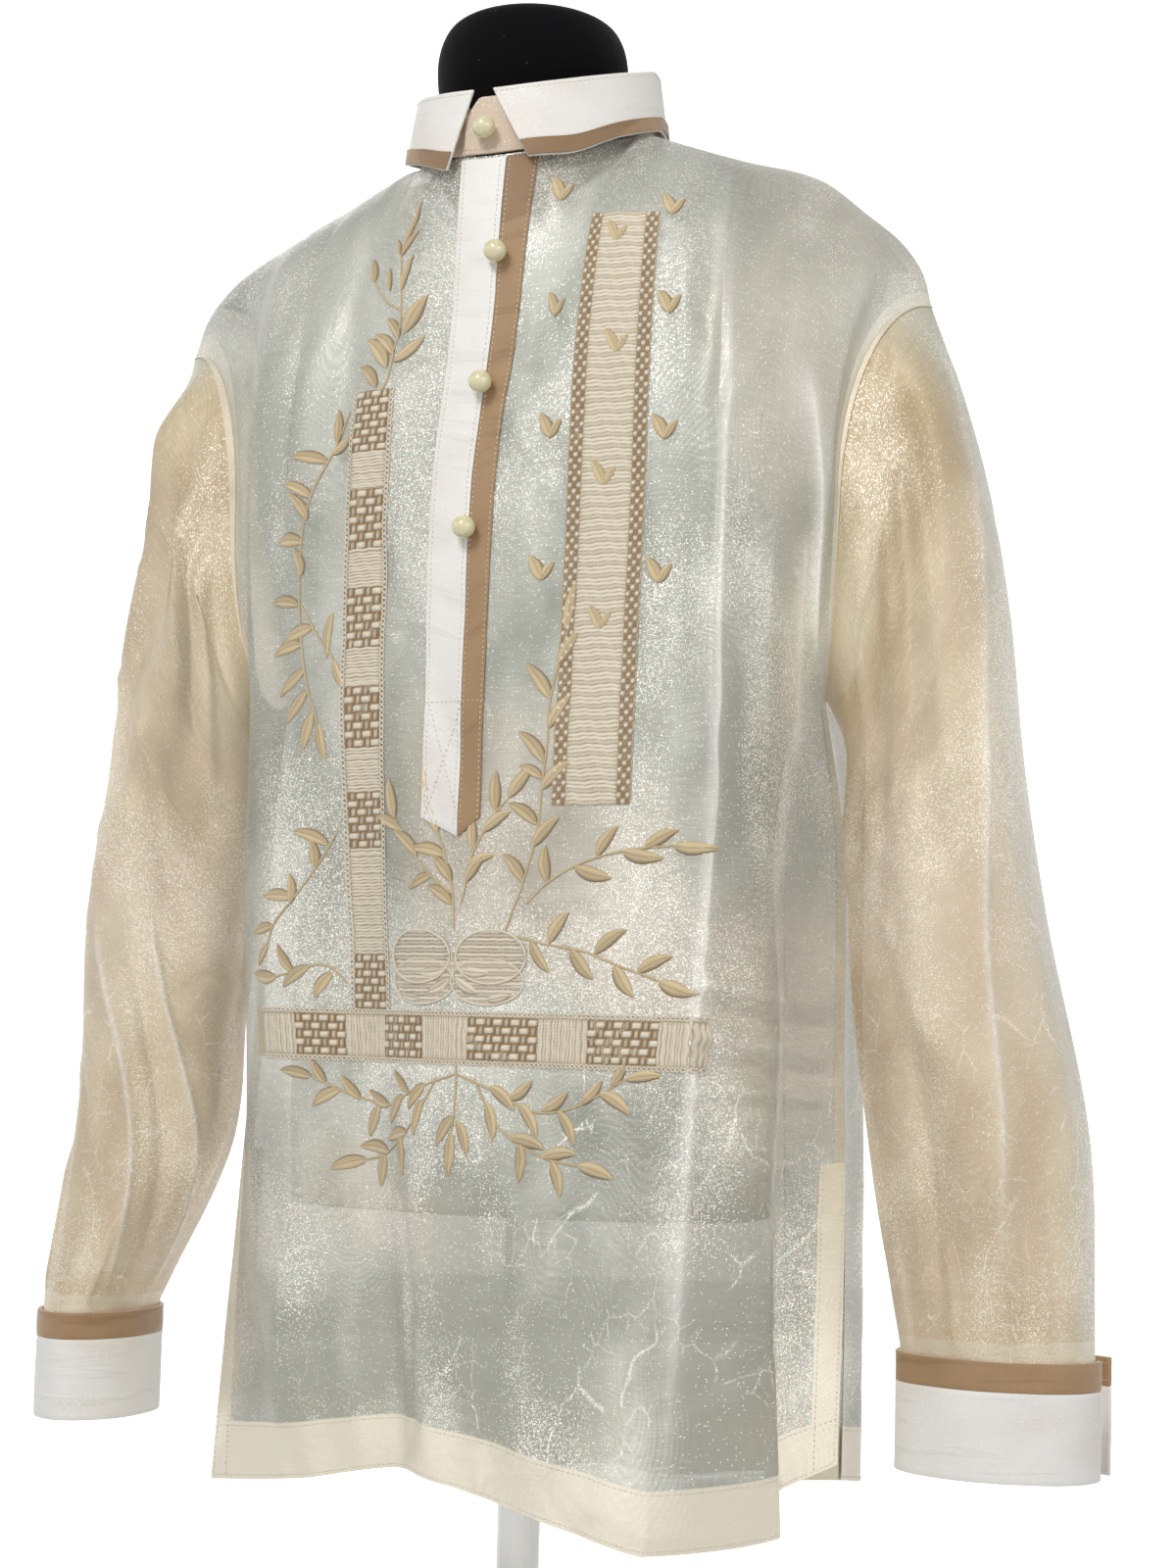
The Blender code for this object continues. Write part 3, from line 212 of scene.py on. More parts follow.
# Cuffs
CUFF_DROP = 0.5 * MM
CUFF_OUT = 1.0 * MM
CUFF_COLUMNS = 130
CUFF_RIPPLE = 0.5 * MM
CUFF_BAND_HEIGHT = 15 * MM
CUFF_HEIGHT = 46 * MM
CUFF_FLARE = {1: 13 * MM, -1: 5 * MM}
CUFF_FLARE_TURN = 0.14
CUFF_START_TURN = -0.02
CUFF_END_TURN = 0.90
CUFF_BUTTON_TURN = 0.855
CUFF_BUTTON_RADIUS = 5.5 * MM
CUFF_BUTTON_THICKNESS = 2.2 * MM

# Collar: angles in degrees round the neck from the front, toward the wearer's left
STAND_HEIGHT = 32 * MM
STAND_SEAM = 1.2 * MM
STAND_END_ROUND = 0.3
STAND_END_TURN = 9.0
STAND_LEFT_END = -11.0
STAND_RIGHT_END = 346.0
FALL_TOP_UP = 5 * MM
FALL_HEIGHT = 35 * MM
FALL_TIP_DROP = 8 * MM
FALL_TOP_OUT = 3.4 * MM
FALL_LOW_OUT = 8.5 * MM
FALL_LEFT_TOP = 4.0
FALL_LEFT_TIP = 21.0
FALL_RIGHT_TOP = 354.5
FALL_RIGHT_TIP = 343.0

# Front opening, embroidered bands and buttons
PLACKET_LEFT_X = -20 * MM
PLACKET_JOIN_X = 3.5 * MM
PLACKET_RIGHT_X = 16.5 * MM
PLACKET_TOP_V = 1.988
PLACKET_LOW_Z = 486 * MM
PLACKET_POINT = 10 * MM
NARROW_BAND_X = (-72.5 * MM, -46.5 * MM)
WIDE_BAND_X = (57 * MM, 102 * MM)
CROSS_BAND_X = (-133 * MM, 143 * MM)
CROSS_BAND_Z = (357 * MM, 383 * MM)
BUTTON_RADIUS = 6.2 * MM
BUTTON_Z = (790 * MM, 719 * MM, 640 * MM)
COLLAR_BUTTON_Z = 862 * MM
COLLAR_BUTTON_TURN = 2.0
HEM_HEIGHT = 30 * MM
HEM_Z = 130 * MM
HEM_FADE_V = 0.6
HEM_V = HEM_HEIGHT / (CHEST_Z - HEM_Z)
VENT_V = (VENT_TOP["left"] - HEM_Z) / (CHEST_Z - HEM_Z)
ARMPIT_V = (ARMPIT_Z - HEM_Z) / (CHEST_Z - HEM_Z)
FACING_U = 0.032
SEAM_SPAN_U = (0.001, 0.015)

# Dress form and stand
FORM_SECTIONS = [
    # z, half width, front and back in mm
    (276, 138, 84, 84),
    (380, 141, 88, 86),
    (480, 136, 92, 82),
    (570, 148, 102, 92),
]
FORM_COLUMNS = 90
FORM_ROWS_LOW = 36
FORM_ROWS_HIGH = 40
# radius, height (none: on the torso) and centre's y in mm
FORM_NECK_RINGS = [
    (50, None, -36), (52, 893, -37), (54, 906, -38), (54, 920, -39), (51, 932, -39),
    (45, 940, -39), (33, 945, -39), (14, 947, -39),
]
FORM_SWEEP = 0.94
FORM_ROUNDNESS = 0.8
FORM_EDGE_U = 0.045
FORM_SLACK = 4.0 * MM
FORM_RIDGE_SLACK = 3.0 * MM
FORM_TIP_DROP = 4 * MM
FORM_SEAT_Q = 1.35
FORM_SEAT_WIDTH = 0.14
FORM_RIDGE = 0.4 * MM
NECK_SEAT = -2.2 * MM

# Long folds: kind, places across and up in mm along the fold, width and rise in mm. A soft fold
# is round, a lap falls steeply on its right side and a pressed one is sharp.
FRONT_RIDGES = [
    ("lap", [(-124, 850), (-117, 791), (-114, 755), (-112, 700), (-112, 630)], 15, 6.0),
    ("soft", [(-131, 845), (-124, 790), (-122, 740), (-124, 640)], 6, -3.0),
    ("soft", [(-84, 830), (-80, 740), (-84, 640)], 10, -2.4),
    ("soft", [(-25, 310), (-18, 240), (-12, 180)], 7, 3.0),
    ("soft", [(-44, 300), (-36, 220), (-34, 150)], 9, -3.0),
    ("soft", [(-110, 290), (-128, 215), (-147, 140)], 8, 3.4),
    ("soft", [(-90, 300), (-104, 220), (-112, 140)], 9, -2.6),
    ("soft", [(166, 812), (154, 750), (141, 690)], 8, 3.4),
    ("press", [(164, 745), (170, 660), (176, 560)], 3.5, 2.6),
    ("press", [(167, 650), (167, 580), (167, 510)], 3.5, 2.2),
    ("press", [(143, 836), (142, 480), (143, 112)], 3.2, 2.6),
    ("soft", [(120, 770), (124, 660), (122, 540)], 11, -2.2),
    ("soft", [(104, 620), (110, 520), (108, 400)], 12, 1.8),
    ("soft", [(62, 330), (66, 230), (62, 130)], 12, 2.6),
    ("soft", [(96, 320), (100, 220), (104, 130)], 10, -2.4),
]
BACK_RIDGES = [
    ("soft", [(140, 780), (146, 640), (150, 500)], 10, 3.0),
    ("soft", [(-140, 780), (-148, 640), (-152, 500)], 10, 3.0),
    ("press", [(-164, 660), (-168, 520), (-166, 400)], 4, 2.4),
    ("press", [(164, 660), (168, 540), (166, 420)], 4, 2.4),
]
# Creases: across and up in mm at both ends, half width and rise in mm
FRONT_CREASES = [
    (-96, 800, -118, 560, 11, 2.2),
    (-78, 790, -92, 600, 10, -1.8),
    (-60, 850, -84, 742, 9, 1.6),
    (116, 850, 122, 690, 8, 2.0),
    (134, 840, 136, 650, 8, -2.2),
    (168, 800, 118, 640, 10, 1.8),
    (172, 600, 132, 520, 9, 1.6),
    (-30, 560, -26, 400, 16, 1.4),
    (118, 600, 128, 330, 12, -1.8),
    (-66, 330, -62, 120, 16, -3.2),
    (-24, 340, -8, 118, 17, 2.4),
    (34, 330, 40, 120, 15, -2.2),
    (78, 300, 84, 118, 14, 1.8),
    (-128, 360, -138, 120, 13, 2.6),
    (-104, 350, -108, 130, 12, -2.0),
    (134, 404, 184, 390, 4.5, 4.0),
    (146, 388, 184, 378, 3.5, -3.4),
    (138, 376, 184, 362, 4.0, 3.8),
    (150, 362, 184, 352, 3.5, -3.0),
    (142, 352, 184, 340, 4.0, 3.4),
    (28, 720, 44, 560, 8, 1.2),
    (-30, 700, -52, 620, 8, 1.0),
]
BACK_CREASES = [
    (96, 820, 88, 560, 14, 2.4),
    (-92, 812, -96, 540, 13, 2.2),
    (60, 420, 128, 398, 9, 2.2),
    (-52, 402, -126, 420, 9, 2.0),
    (-34, 372, 44, 380, 8, -1.8),
    (70, 330, 78, 118, 15, 2.2),
    (-64, 340, -74, 118, 15, -2.4),
]
# Sleeve folds and creases: round from the outer side to the front and down from the armhole
SLEEVE_RIDGES = {
    1: [
        ("press", [(13, 25), (36, 181), (40, 319), (61, 414), (86, 566)], 4.5, 4.5),
        ("soft", [(70, 40), (78, 170), (84, 300)], 9, 3.4),
        ("soft", [(98, 50), (108, 170), (116, 300)], 9, -3.6),
        ("soft", [(122, 60), (131, 180), (132, 360)], 8, 3.4),
        ("soft", [(128, 340), (112, 400), (98, 450)], 7, 2.8),
        ("soft", [(20, 390), (26, 450), (34, 520)], 9, 2.8),
        ("soft", [(112, 430), (118, 500), (116, 570)], 8, -2.4),
        ("soft", [(330, 60), (318, 250), (300, 420)], 14, 3.6),
    ],
    -1: [
        ("soft", [(60, 10), (78, 60), (96, 190)], 8, 4.2),
        ("soft", [(84, 20), (100, 80), (118, 200)], 7, -4.0),
        ("soft", [(106, 40), (124, 110), (142, 230)], 8, 3.6),
        ("press", [(76, 375), (105, 470), (139, 568)], 4.0, 3.8),
        ("press", [(114, 355), (150, 460), (188, 568)], 4.0, 3.4),
        ("soft", [(96, 370), (128, 465), (164, 568)], 7, -3.0),
        ("soft", [(330, 60), (318, 250), (300, 420)], 14, 3.6),
    ],
}
# Sleeve creases: round from the outer side to the front and down from the armhole, in mm
SLEEVE_CREASES = {
    1: [
        (40, 6, 62, 240, 9, 3.0),
        (78, 4, 92, 210, 8, -2.6),
        (108, 10, 112, 230, 9, 2.4),
        (60, 250, 150, 268, 12, 2.6),
        (50, 290, 140, 300, 10, -2.4),
        (70, 330, 160, 318, 11, 2.0),
        (60, 320, 78, 560, 12, 2.2),
        (118, 330, 112, 560, 12, -2.2),
        (290, 120, 270, 540, 16, 3.0),
        (56, 500, 54, 572, 4, 2.6),
        (66, 510, 66, 572, 3.5, -2.4),
        (112, 515, 112, 572, 4, 2.2),
        (150, 505, 148, 572, 4, -2.2),
        (300, 500, 300, 572, 5, 2.4),
    ],
    -1: [
        (36, 6, 48, 250, 10, 3.2),
        (70, 6, 78, 220, 9, -3.0),
        (104, 8, 104, 260, 10, 3.0),
        (40, 240, 120, 262, 12, 2.4),
        (50, 285, 130, 290, 10, -2.2),
        (64, 300, 66, 560, 12, 2.6),
        (96, 320, 100, 560, 11, -2.6),
        (280, 110, 262, 540, 16, 3.0),
        (44, 500, 46, 572, 4, 2.6),
        (88, 505, 86, 572, 4, -2.4),
        (122, 515, 122, 572, 4, 2.2),
        (300, 500, 300, 572, 5, 2.4),
    ],
}
SLEEVE_ROUND = 380.0
SLEEVE_LONG = 572.0
# Small crushed creases: how many, middle and spread across and up, way in degrees,
# length, half width and rise in mm
FRONT_CRUSH = [
    (34, (0, 440), (95, 190), (84, 24), (120, 44), 10.0, 1.9),
    (90, (95, 250), (60, 110), (15, 50), (46, 22), 3.4, 1.0),
    (60, (34, 640), (70, 130), (80, 40), (44, 20), 3.8, 0.8),
    (24, (160, 380), (18, 50), (-12, 20), (34, 14), 3.0, 1.3),
]
BACK_CRUSH = [
    (26, (0, 440), (95, 190), (86, 22), (120, 44), 10.0, 1.7),
    (90, (0, 320), (120, 150), (10, 50), (50, 22), 3.6, 0.9),
]
SLEEVE_CRUSH = [
    (26, (120, 280), (120, 150), (84, 24), (110, 40), 9.0, 1.6),
    (90, (150, 330), (130, 150), (10, 45), (44, 20), 3.6, 0.9),
]

# Thread heights and places of the embroidered work on the front: across and up, in mm
NARROW_S = (-73.0, -47.0)
NARROW_BLOCKS = [
    ("woven", 721, 687), ("bars", 687, 666), ("woven", 666, 633), ("bars", 633, 612),
    ("woven", 612, 579), ("bars", 579, 558), ("woven", 558, 525), ("bars", 525, 501),
    ("woven", 501, 471), ("bars", 471, 414), ("woven", 414, 385),
]
BLOCK_INSET = 1.5
RIB_PITCH = 1.75
CROSS_Z = (358.0, 383.0)
CROSS_BLOCKS = [
    ("bars", -129, -106), ("woven", -106, -78), ("bars", -78, -50), ("woven", -50, -17),
    ("bars", -17, 14), ("woven", 14, 55), ("bars", 55, 85), ("woven", 85, 124),
    ("bars", 124, 146),
]
WIDE_EDGE = 7.6
WIDE_S = (58.0, 101.0)
WIDE_Z = (492.0, 815.0)
STEMS = [
    [(-58, 716), (-51, 726), (-48, 744), (-46, 763), (-49, 782), (-52, 800)],
    [(-71, 785), (-60, 773), (-46, 765)],
    [(-78, 712), (-88, 689), (-97, 669), (-105, 640), (-106, 606), (-101, 572), (-90, 540)],
    [(-105, 606), (-94, 590), (-80, 574)],
    [(-78, 481), (-89, 464), (-104, 444), (-117, 430), (-123, 418)],
    [(-121, 400), (-105, 404), (-88, 408), (-76, 398)],
    [(3, 427), (0, 450), (-8, 474), (-20, 496)],
    [(6, 440), (13, 466), (24, 486), (33, 496)],
    [(0, 446), (-20, 462), (-38, 486)],
    [(34, 426), (43, 450), (50, 477), (52, 504), (54, 525), (54, 545), (56, 560), (62, 585)],
    [(46, 440), (58, 452), (76, 462), (98, 468), (124, 471)],
    [(40, 424), (58, 420), (81, 416), (104, 408), (122, 402)],
    [(7, 357), (7, 340), (5, 322)],
    [(7, 352), (-20, 344), (-48, 334), (-74, 338), (-98, 347)],
    [(7, 352), (30, 344), (56, 334), (82, 338), (108, 352)],
    [(-6, 350), (-24, 326), (-50, 310), (-70, 304)],
    [(18, 350), (34, 326), (60, 312), (84, 308)],
]
# Leaves: foot across and up, way in degrees, length and width in mm, bend
LEAVES = [
    (-52, 801, 66, 30, 4.6, 0.1), (-52, 797, 50, 19, 4.2, -0.2), (-53, 799, 114, 11, 3.6, 0.1),
    (-71, 785, 118, 18, 7.4, 0.2), (-58, 778, 97, 15, 4.0, -0.1), (-48, 776, 74, 22, 5.2, -0.2),
    (-43, 751, 60, 24, 8.8, -0.2), (-46, 749, 127, 17, 6.4, 0.3), (-48, 740, 132, 21, 6.8, 0.4),
    (-52, 733, 139, 26, 9.0, 0.4), (-48, 736, 36, 21, 6.4, 0.3), (-58, 722, 136, 21, 7.4, 0.5),
    (-86, 694, 86, 20, 5.5, 0.2), (-90, 684, 176, 20, 7.0, 0.3), (-88, 688, 30, 18, 6.0, -0.2),
    (-98, 664, 150, 18, 6.5, 0.4), (-101, 652, 120, 18, 6.0, 0.4), (-104, 640, 172, 21, 8.0, 0.4),
    (-105, 622, 110, 17, 5.5, 0.3), (-106, 606, 168, 20, 7.0, 0.3), (-96, 593, 200, 22, 7.5, 0.3),
    (-82, 600, 262, 26, 6.0, 0.3), (-103, 584, 195, 22, 7.0, 0.3), (-100, 570, 222, 22, 7.0, 0.2),
    (-97, 558, 240, 22, 6.5, 0.2), (-93, 546, 258, 22, 6.5, 0.2), (-89, 540, 285, 22, 6.0, 0.2),
    (-80, 574, 300, 18, 5.5, 0.2),
    (-84, 473, 160, 22, 7.0, 0.3), (-92, 460, 100, 17, 6.0, 0.3), (-104, 444, 178, 22, 7.0, 0.3),
    (-106, 441, 92, 17, 5.5, 0.3), (-118, 429, 190, 18, 6.0, 0.2), (-122, 419, 230, 15, 5.0, 0.2),
    (-105, 404, 122, 18, 6.0, -0.3), (-116, 401, 178, 22, 7.5, -0.2),
    (-96, 407, 218, 20, 6.5, 0.3), (-84, 404, 238, 18, 6.0, 0.3),
    (1, 440, 152, 20, 6.5, 0.4), (0, 452, 128, 20, 6.5, 0.3), (-5, 466, 172, 22, 7.0, 0.4),
    (-10, 478, 118, 22, 7.5, 0.2), (-17, 491, 100, 24, 7.5, 0.1), (-22, 466, 140, 22, 7.0, 0.3),
    (-34, 480, 160, 20, 6.5, 0.2), (-38, 486, 104, 22, 7.5, -0.1), (-12, 456, 200, 18, 5.5, 0.3),
    (9, 452, 42, 20, 6.5, -0.3), (14, 468, 96, 20, 6.5, -0.2), (19, 478, 34, 20, 6.5, -0.3),
    (26, 489, 92, 22, 7.0, -0.1), (33, 496, 52, 22, 7.0, -0.2), (10, 460, 20, 18, 5.5, -0.3),
    (44, 452, 132, 20, 7.0, 0.3), (48, 470, 48, 22, 7.0, -0.3), (50, 482, 140, 21, 7.0, 0.3),
    (52, 500, 44, 22, 7.0, -0.3), (53, 514, 136, 24, 7.5, 0.3), (54, 532, 54, 22, 6.5, -0.2),
    (54, 548, 128, 24, 7.5, 0.2), (57, 566, 56, 22, 6.5, -0.2), (61, 584, 82, 26, 7.0, -0.1),
    (52, 506, 150, 16, 5.5, 0.3),
    (58, 452, 92, 20, 6.5, -0.3), (72, 460, -16, 22, 7.5, 0.2), (84, 465, 62, 20, 6.5, -0.3),
    (98, 468, -12, 22, 7.5, 0.2), (110, 469, 38, 20, 6.5, -0.3), (124, 471, 2, 22, 7.0, 0.2),
    (60, 420, 52, 20, 6.5, -0.3), (72, 418, -44, 22, 7.5, 0.3), (86, 415, 28, 22, 7.0, -0.3),
    (98, 410, -52, 20, 7.0, 0.3), (110, 406, 22, 20, 6.5, -0.3), (121, 402, -24, 22, 7.5, 0.2),
    (50, 422, -62, 20, 6.0, 0.3),
    (-14, 346, 228, 20, 6.5, 0.3), (-28, 342, 140, 17, 6.0, -0.3), (-34, 340, 232, 21, 6.5, 0.3),
    (-48, 334, 148, 19, 6.5, -0.3), (-56, 334, 236, 21, 6.5, 0.3), (-70, 336, 128, 17, 6.0, -0.2),
    (-82, 341, 212, 20, 6.5, 0.3), (-98, 347, 170, 20, 6.0, 0.2), (-90, 344, 120, 15, 5.5, -0.2),
    (-16, 338, 250, 21, 6.5, 0.3), (-30, 320, 190, 22, 7.0, 0.3), (-36, 318, 268, 21, 6.5, 0.2),
    (-52, 309, 172, 22, 7.0, 0.3), (-56, 308, 250, 20, 6.5, 0.2), (-70, 304, 196, 22, 7.0, 0.2),
    (28, 346, -48, 20, 6.5, -0.3), (40, 340, 40, 17, 6.0, 0.3), (46, 338, -52, 21, 6.5, -0.3),
    (60, 335, 34, 19, 6.5, 0.3), (70, 335, -54, 21, 6.5, -0.3), (84, 339, 52, 17, 6.0, 0.2),
    (94, 345, -30, 21, 6.5, -0.3), (108, 352, 10, 20, 6.0, -0.2), (100, 348, 60, 15, 5.5, 0.2),
    (26, 338, -70, 21, 6.5, -0.3), (42, 320, -10, 22, 7.0, -0.3), (48, 318, -88, 21, 6.5, -0.2),
    (62, 311, 8, 22, 7.0, -0.3), (68, 310, -70, 20, 6.5, -0.2), (84, 308, -16, 22, 7.0, -0.2),
    (6, 330, 240, 20, 6.5, 0.3), (8, 328, -60, 20, 6.5, -0.3), (5, 322, 268, 24, 7.0, 0.1),
]
# Small paired leaves: foot across and up and size
PAIRS = [
    (31, 822, 1.0), (40, 755, 1.0), (46, 688, 1.0), (46, 611, 1.0),
    (109, 813, 1.0), (111, 754, 1.0), (111, 685, 1.0), (111, 608, 1.0),
    (77, 797, 1.0), (82, 733, 1.05), (78, 661, 1.05), (80, 584, 1.0),
]
# Bow on the front: knot, then the middles and half sizes of its loops and tails
BOW_KNOT = (3.0, 409.0)
BOW_LOOPS = [(-20.0, 413.0, 21.0, 14.0), (26.0, 413.0, 21.0, 14.0)]
BOW_TAILS = [(-18.0, 400.0, 22.0, 12.0), (24.0, 400.0, 22.0, 12.0)]

# Neck cover's lower edge on the torso: middle, height and rise to the sides
COVER_EDGE_X = 10 * MM
COVER_EDGE_Z = 819 * MM
COVER_EDGE_RISE = 16.0

# Half width in mm of the painted highlight along a pressed fold
PRESSED_HIGHLIGHT_WIDTH = 1.6

# Collar: how far the stand's end passes behind the other, and how the fall's edge sags
UNDERLAP = 8.0
UNDERLAP_DEPTH = 1.9 * MM
FALL_SAG = 3.5 * MM
FALL_RIPPLE = 0.35 * MM
FALL_ROWS = 19

# Ending of the name of a piece that stands for the node it is named after
FINE = "_fine"

# Rows and columns of the fine grids; a sleeve's head has rows of its own, close together
ROWS_LOW = 196
ROWS_HIGH = 98
FRONT_COLUMNS = 271
BACK_COLUMNS = 201
SLEEVE_COLUMNS = 181
SLEEVE_ROWS = 216
SLEEVE_HEAD = 0.08

# Depths and heights of the thin layers
STEP = 0.004
STITCH_INSET = 0.004
UNDER_HEM = -1.6 * MM
UNDER_SEAM = -0.8 * MM
GROUND_OUT = 0.35 * MM
SLEEVE_TUCK = 3.0 * MM
HOLE_TURNS = (0.2636, 0.3305)
HOLE_HEIGHTS = (0.1762, 0.1709)
HOLE_BARS = 20
BAND_LIFT = 0.32
SPRAY_LIFT = 0.12
WHITE_OUT = (0.3 * MM, 1.1 * MM)
BROWN_OUT = (0.3 * MM, 1.3 * MM)
TRIM_LIFT = 0.1
TRIM_GAP = 0.15 * MM
BOX_STITCH_Z = 548 * MM

# Lights: name, place, aim, power in watts and size in metres
LIGHTS = [
    ("key", (-0.25, -2.4, 2.45), (0.0, 0.0, 0.55), 42.0, 0.9),
    ("fill", (2.3, -1.3, 1.2), (0.0, 0.0, 0.5), 11.0, 1.4),
    ("back", (-1.2, 2.0, 2.0), (0.0, 0.0, 0.5), 18.0, 1.2),
]
WORLD_COLOUR = (1.0, 0.99, 0.97, 1.0)
WORLD_STRENGTH = 0.38
BACKDROP_GLOW = 1.08

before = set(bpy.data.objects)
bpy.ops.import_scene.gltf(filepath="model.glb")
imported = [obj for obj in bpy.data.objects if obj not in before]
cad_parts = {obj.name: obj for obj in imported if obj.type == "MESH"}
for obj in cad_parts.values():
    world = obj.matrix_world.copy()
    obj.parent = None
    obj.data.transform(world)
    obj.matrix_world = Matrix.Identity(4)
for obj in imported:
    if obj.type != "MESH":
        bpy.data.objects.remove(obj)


# ---- curves
def smooth(t):
    t = np.clip(t, 0.0, 1.0)
    return t * t * (3.0 - 2.0 * t)


def travelled(points):
    """Length along a line of points, from its start to each of them."""
    return np.concatenate([[0.0], np.cumsum(np.linalg.norm(np.diff(points, axis=0), axis=1))])


def unit(vectors):
    """Rows of vectors at length one."""
    return vectors / np.linalg.norm(vectors, axis=1)[:, None]


def spline(knots, values, where):
    """Catmull-Rom curve through values (rows) at knots, read at where."""
    knots = np.asarray(knots, float)
    values = np.asarray(values, float).reshape(len(knots), -1)
    where = np.asarray(where, float)
    tangents = np.empty_like(values)
    tangents[1:-1] = (values[2:] - values[:-2]) / (knots[2:] - knots[:-2])[:, None]
    tangents[0] = (values[1] - values[0]) / (knots[1] - knots[0])
    tangents[-1] = (values[-1] - values[-2]) / (knots[-1] - knots[-2])
    index = np.clip(np.searchsorted(knots, where) - 1, 0, len(knots) - 2)
    return hermite(knots[index], knots[index + 1], values[index], values[index + 1],
                   tangents[index], tangents[index + 1], where)


def hermite(k0, k1, p0, p1, m0, m1, where):
    """Cubic from p0 to p1 with slopes m0 and m1; it goes on straight past its ends."""
    span = k1 - k0
    t = (where - k0) / span
    inside = np.clip(t, 0.0, 1.0)[:, None]
    s = span[:, None]
    a = 2 * inside ** 3 - 3 * inside ** 2 + 1
    b = inside ** 3 - 2 * inside ** 2 + inside
    c = -2 * inside ** 3 + 3 * inside ** 2
    d = inside ** 3 - inside ** 2
    value = a * p0 + b * s * m0 + c * p1 + d * s * m1
    before = np.minimum(t, 0.0)[:, None] * s * m0
    after = np.maximum(t - 1.0, 0.0)[:, None] * s * m1
    return value + before + after


def across(keys, values, sharp, where):
    """Point on each section: values has a row of key points for each entry of where."""
    keys = np.asarray(keys, float)
    sharp = np.asarray(sharp, float)[None, :, None]
    step = (values[:, 1:] - values[:, :-1]) / np.diff(keys)[None, :, None]
    round_slope = np.empty_like(values)
    span = (keys[2:] - keys[:-2])[None, :, None]
    round_slope[:, 1:-1] = (values[:, 2:] - values[:, :-2]) / span
    round_slope[:, 0] = step[:, 0]
    round_slope[:, -1] = step[:, -1]
    start = round_slope[:, :-1] * (1 - sharp[:, :-1]) + step * sharp[:, :-1]
    end = round_slope[:, 1:] * (1 - sharp[:, 1:]) + step * sharp[:, 1:]
    index = np.clip(np.searchsorted(keys, where) - 1, 0, len(keys) - 2)
    rows = np.arange(len(where))
    return hermite(keys[index], keys[index + 1], values[rows, index], values[rows, index + 1],
                   start[rows, index], end[rows, index], where)


# ---- neck, shoulder and armhole
def neckline(turn):
    """Neckline seam at an angle in degrees from the front, toward the wearer's left."""
    angle = np.radians(turn)
    cosine = np.cos(angle)
    sine = np.sin(angle)
    x = np.where(sine > 0, NECK_LEFT_WIDTH, NECK_RIGHT_WIDTH) * sine
    depth = np.where(cosine > 0, NECK_FRONT, NECK_BACK)
    y = NECK_CENTRE_Y - depth * cosine
    left_share = np.where(cosine > 0, np.where(sine > 0, 1.0, 0.0), (1 + sine) / 2)
    side_rise = NECKLINE_RIGHT_RISE + (NECKLINE_LEFT_RISE - NECKLINE_RIGHT_RISE) * left_share
    front_rise = side_rise * np.clip(1 - cosine, 0, 1) ** 0.9
    z = NECKLINE_FRONT_Z + front_rise + NECKLINE_BACK_RISE * np.clip(-cosine, 0, 1)
    return np.stack([x, y, z], -1)


def shoulder(part, side):
    """Shoulder seam: 0 at the neck corner, 1 at the tip; side is +1 on the wearer's left."""
    points = np.array(SHOULDER[side]) * MM
    knots = travelled(points)
    seam = spline(knots / knots[-1], points, part)
    seam[:, 0] *= side
    return seam


def top_path(q, back):
    """Top edge of a panel: the neckline for |q| below 1, then the shoulder seam."""
    turn = np.clip(q, -1, 1) * 90.0
    if back:
        turn = 180.0 - turn
    neck = neckline(turn)
    part = np.clip(np.abs(q) - 1.0, 0, 1)
    seam = np.where((q < 0)[:, None], shoulder(part, -1), shoulder(part, 1))
    return np.where((np.abs(q) <= 1.0)[:, None], neck, seam)


def armhole(turn, side):
    """Armhole loop: turn 0 is the tip, 0.25 the front, 0.5 the armpit."""
    angle = 2 * math.pi * np.asarray(turn, float)
    level = np.cos(angle)
    swing = np.abs(np.sin(angle))
    high = level > 0
    tip, middle, low = ARMHOLE_X[side]
    x = middle + (1 - swing) * np.where(high, tip - middle, low - middle)
    depth = np.where(np.sin(angle) > 0, -ARMHOLE_FRONT, ARMHOLE_BACK)
    y = depth * swing + np.where(high, ARMHOLE_TOP_Y * (1 - swing), 0.0)
    z = CHEST_Z + level * np.where(high, TIP_Z - CHEST_Z, CHEST_Z - ARMPIT_Z)
    return np.stack([side * x, y, z], -1)


def panel_side(z, side, back):
    """Edge of a panel at a height below the chest: the side seam, then the armhole."""
    rows = np.array([[row[0], *(row[2] if side > 0 else row[1])] for row in SIDE_SEAMS]) * MM
    seam = spline(rows[:, 0], rows[:, 1:], z)
    way = 1.0 if back else -1.0
    vent_top = VENT_TOP["left" if side > 0 else "right"]
    opening = VENT_SPREAD * smooth((vent_top - z) / (vent_top - VENT_LOW_Z))
    seam[:, 1] += way * (SEAM_GAP + opening)
    level = np.clip((z - CHEST_Z) / (CHEST_Z - ARMPIT_Z), -1.0, 0.0)
    turn = np.arccos(level) / (2 * math.pi)
    if back:
        turn = 1.0 - turn
    loop = armhole(turn, side)[:, :2]
    loop[:, 1] += way * SEAM_GAP * -level
    return np.where((z >= ARMPIT_Z)[:, None], loop, seam)


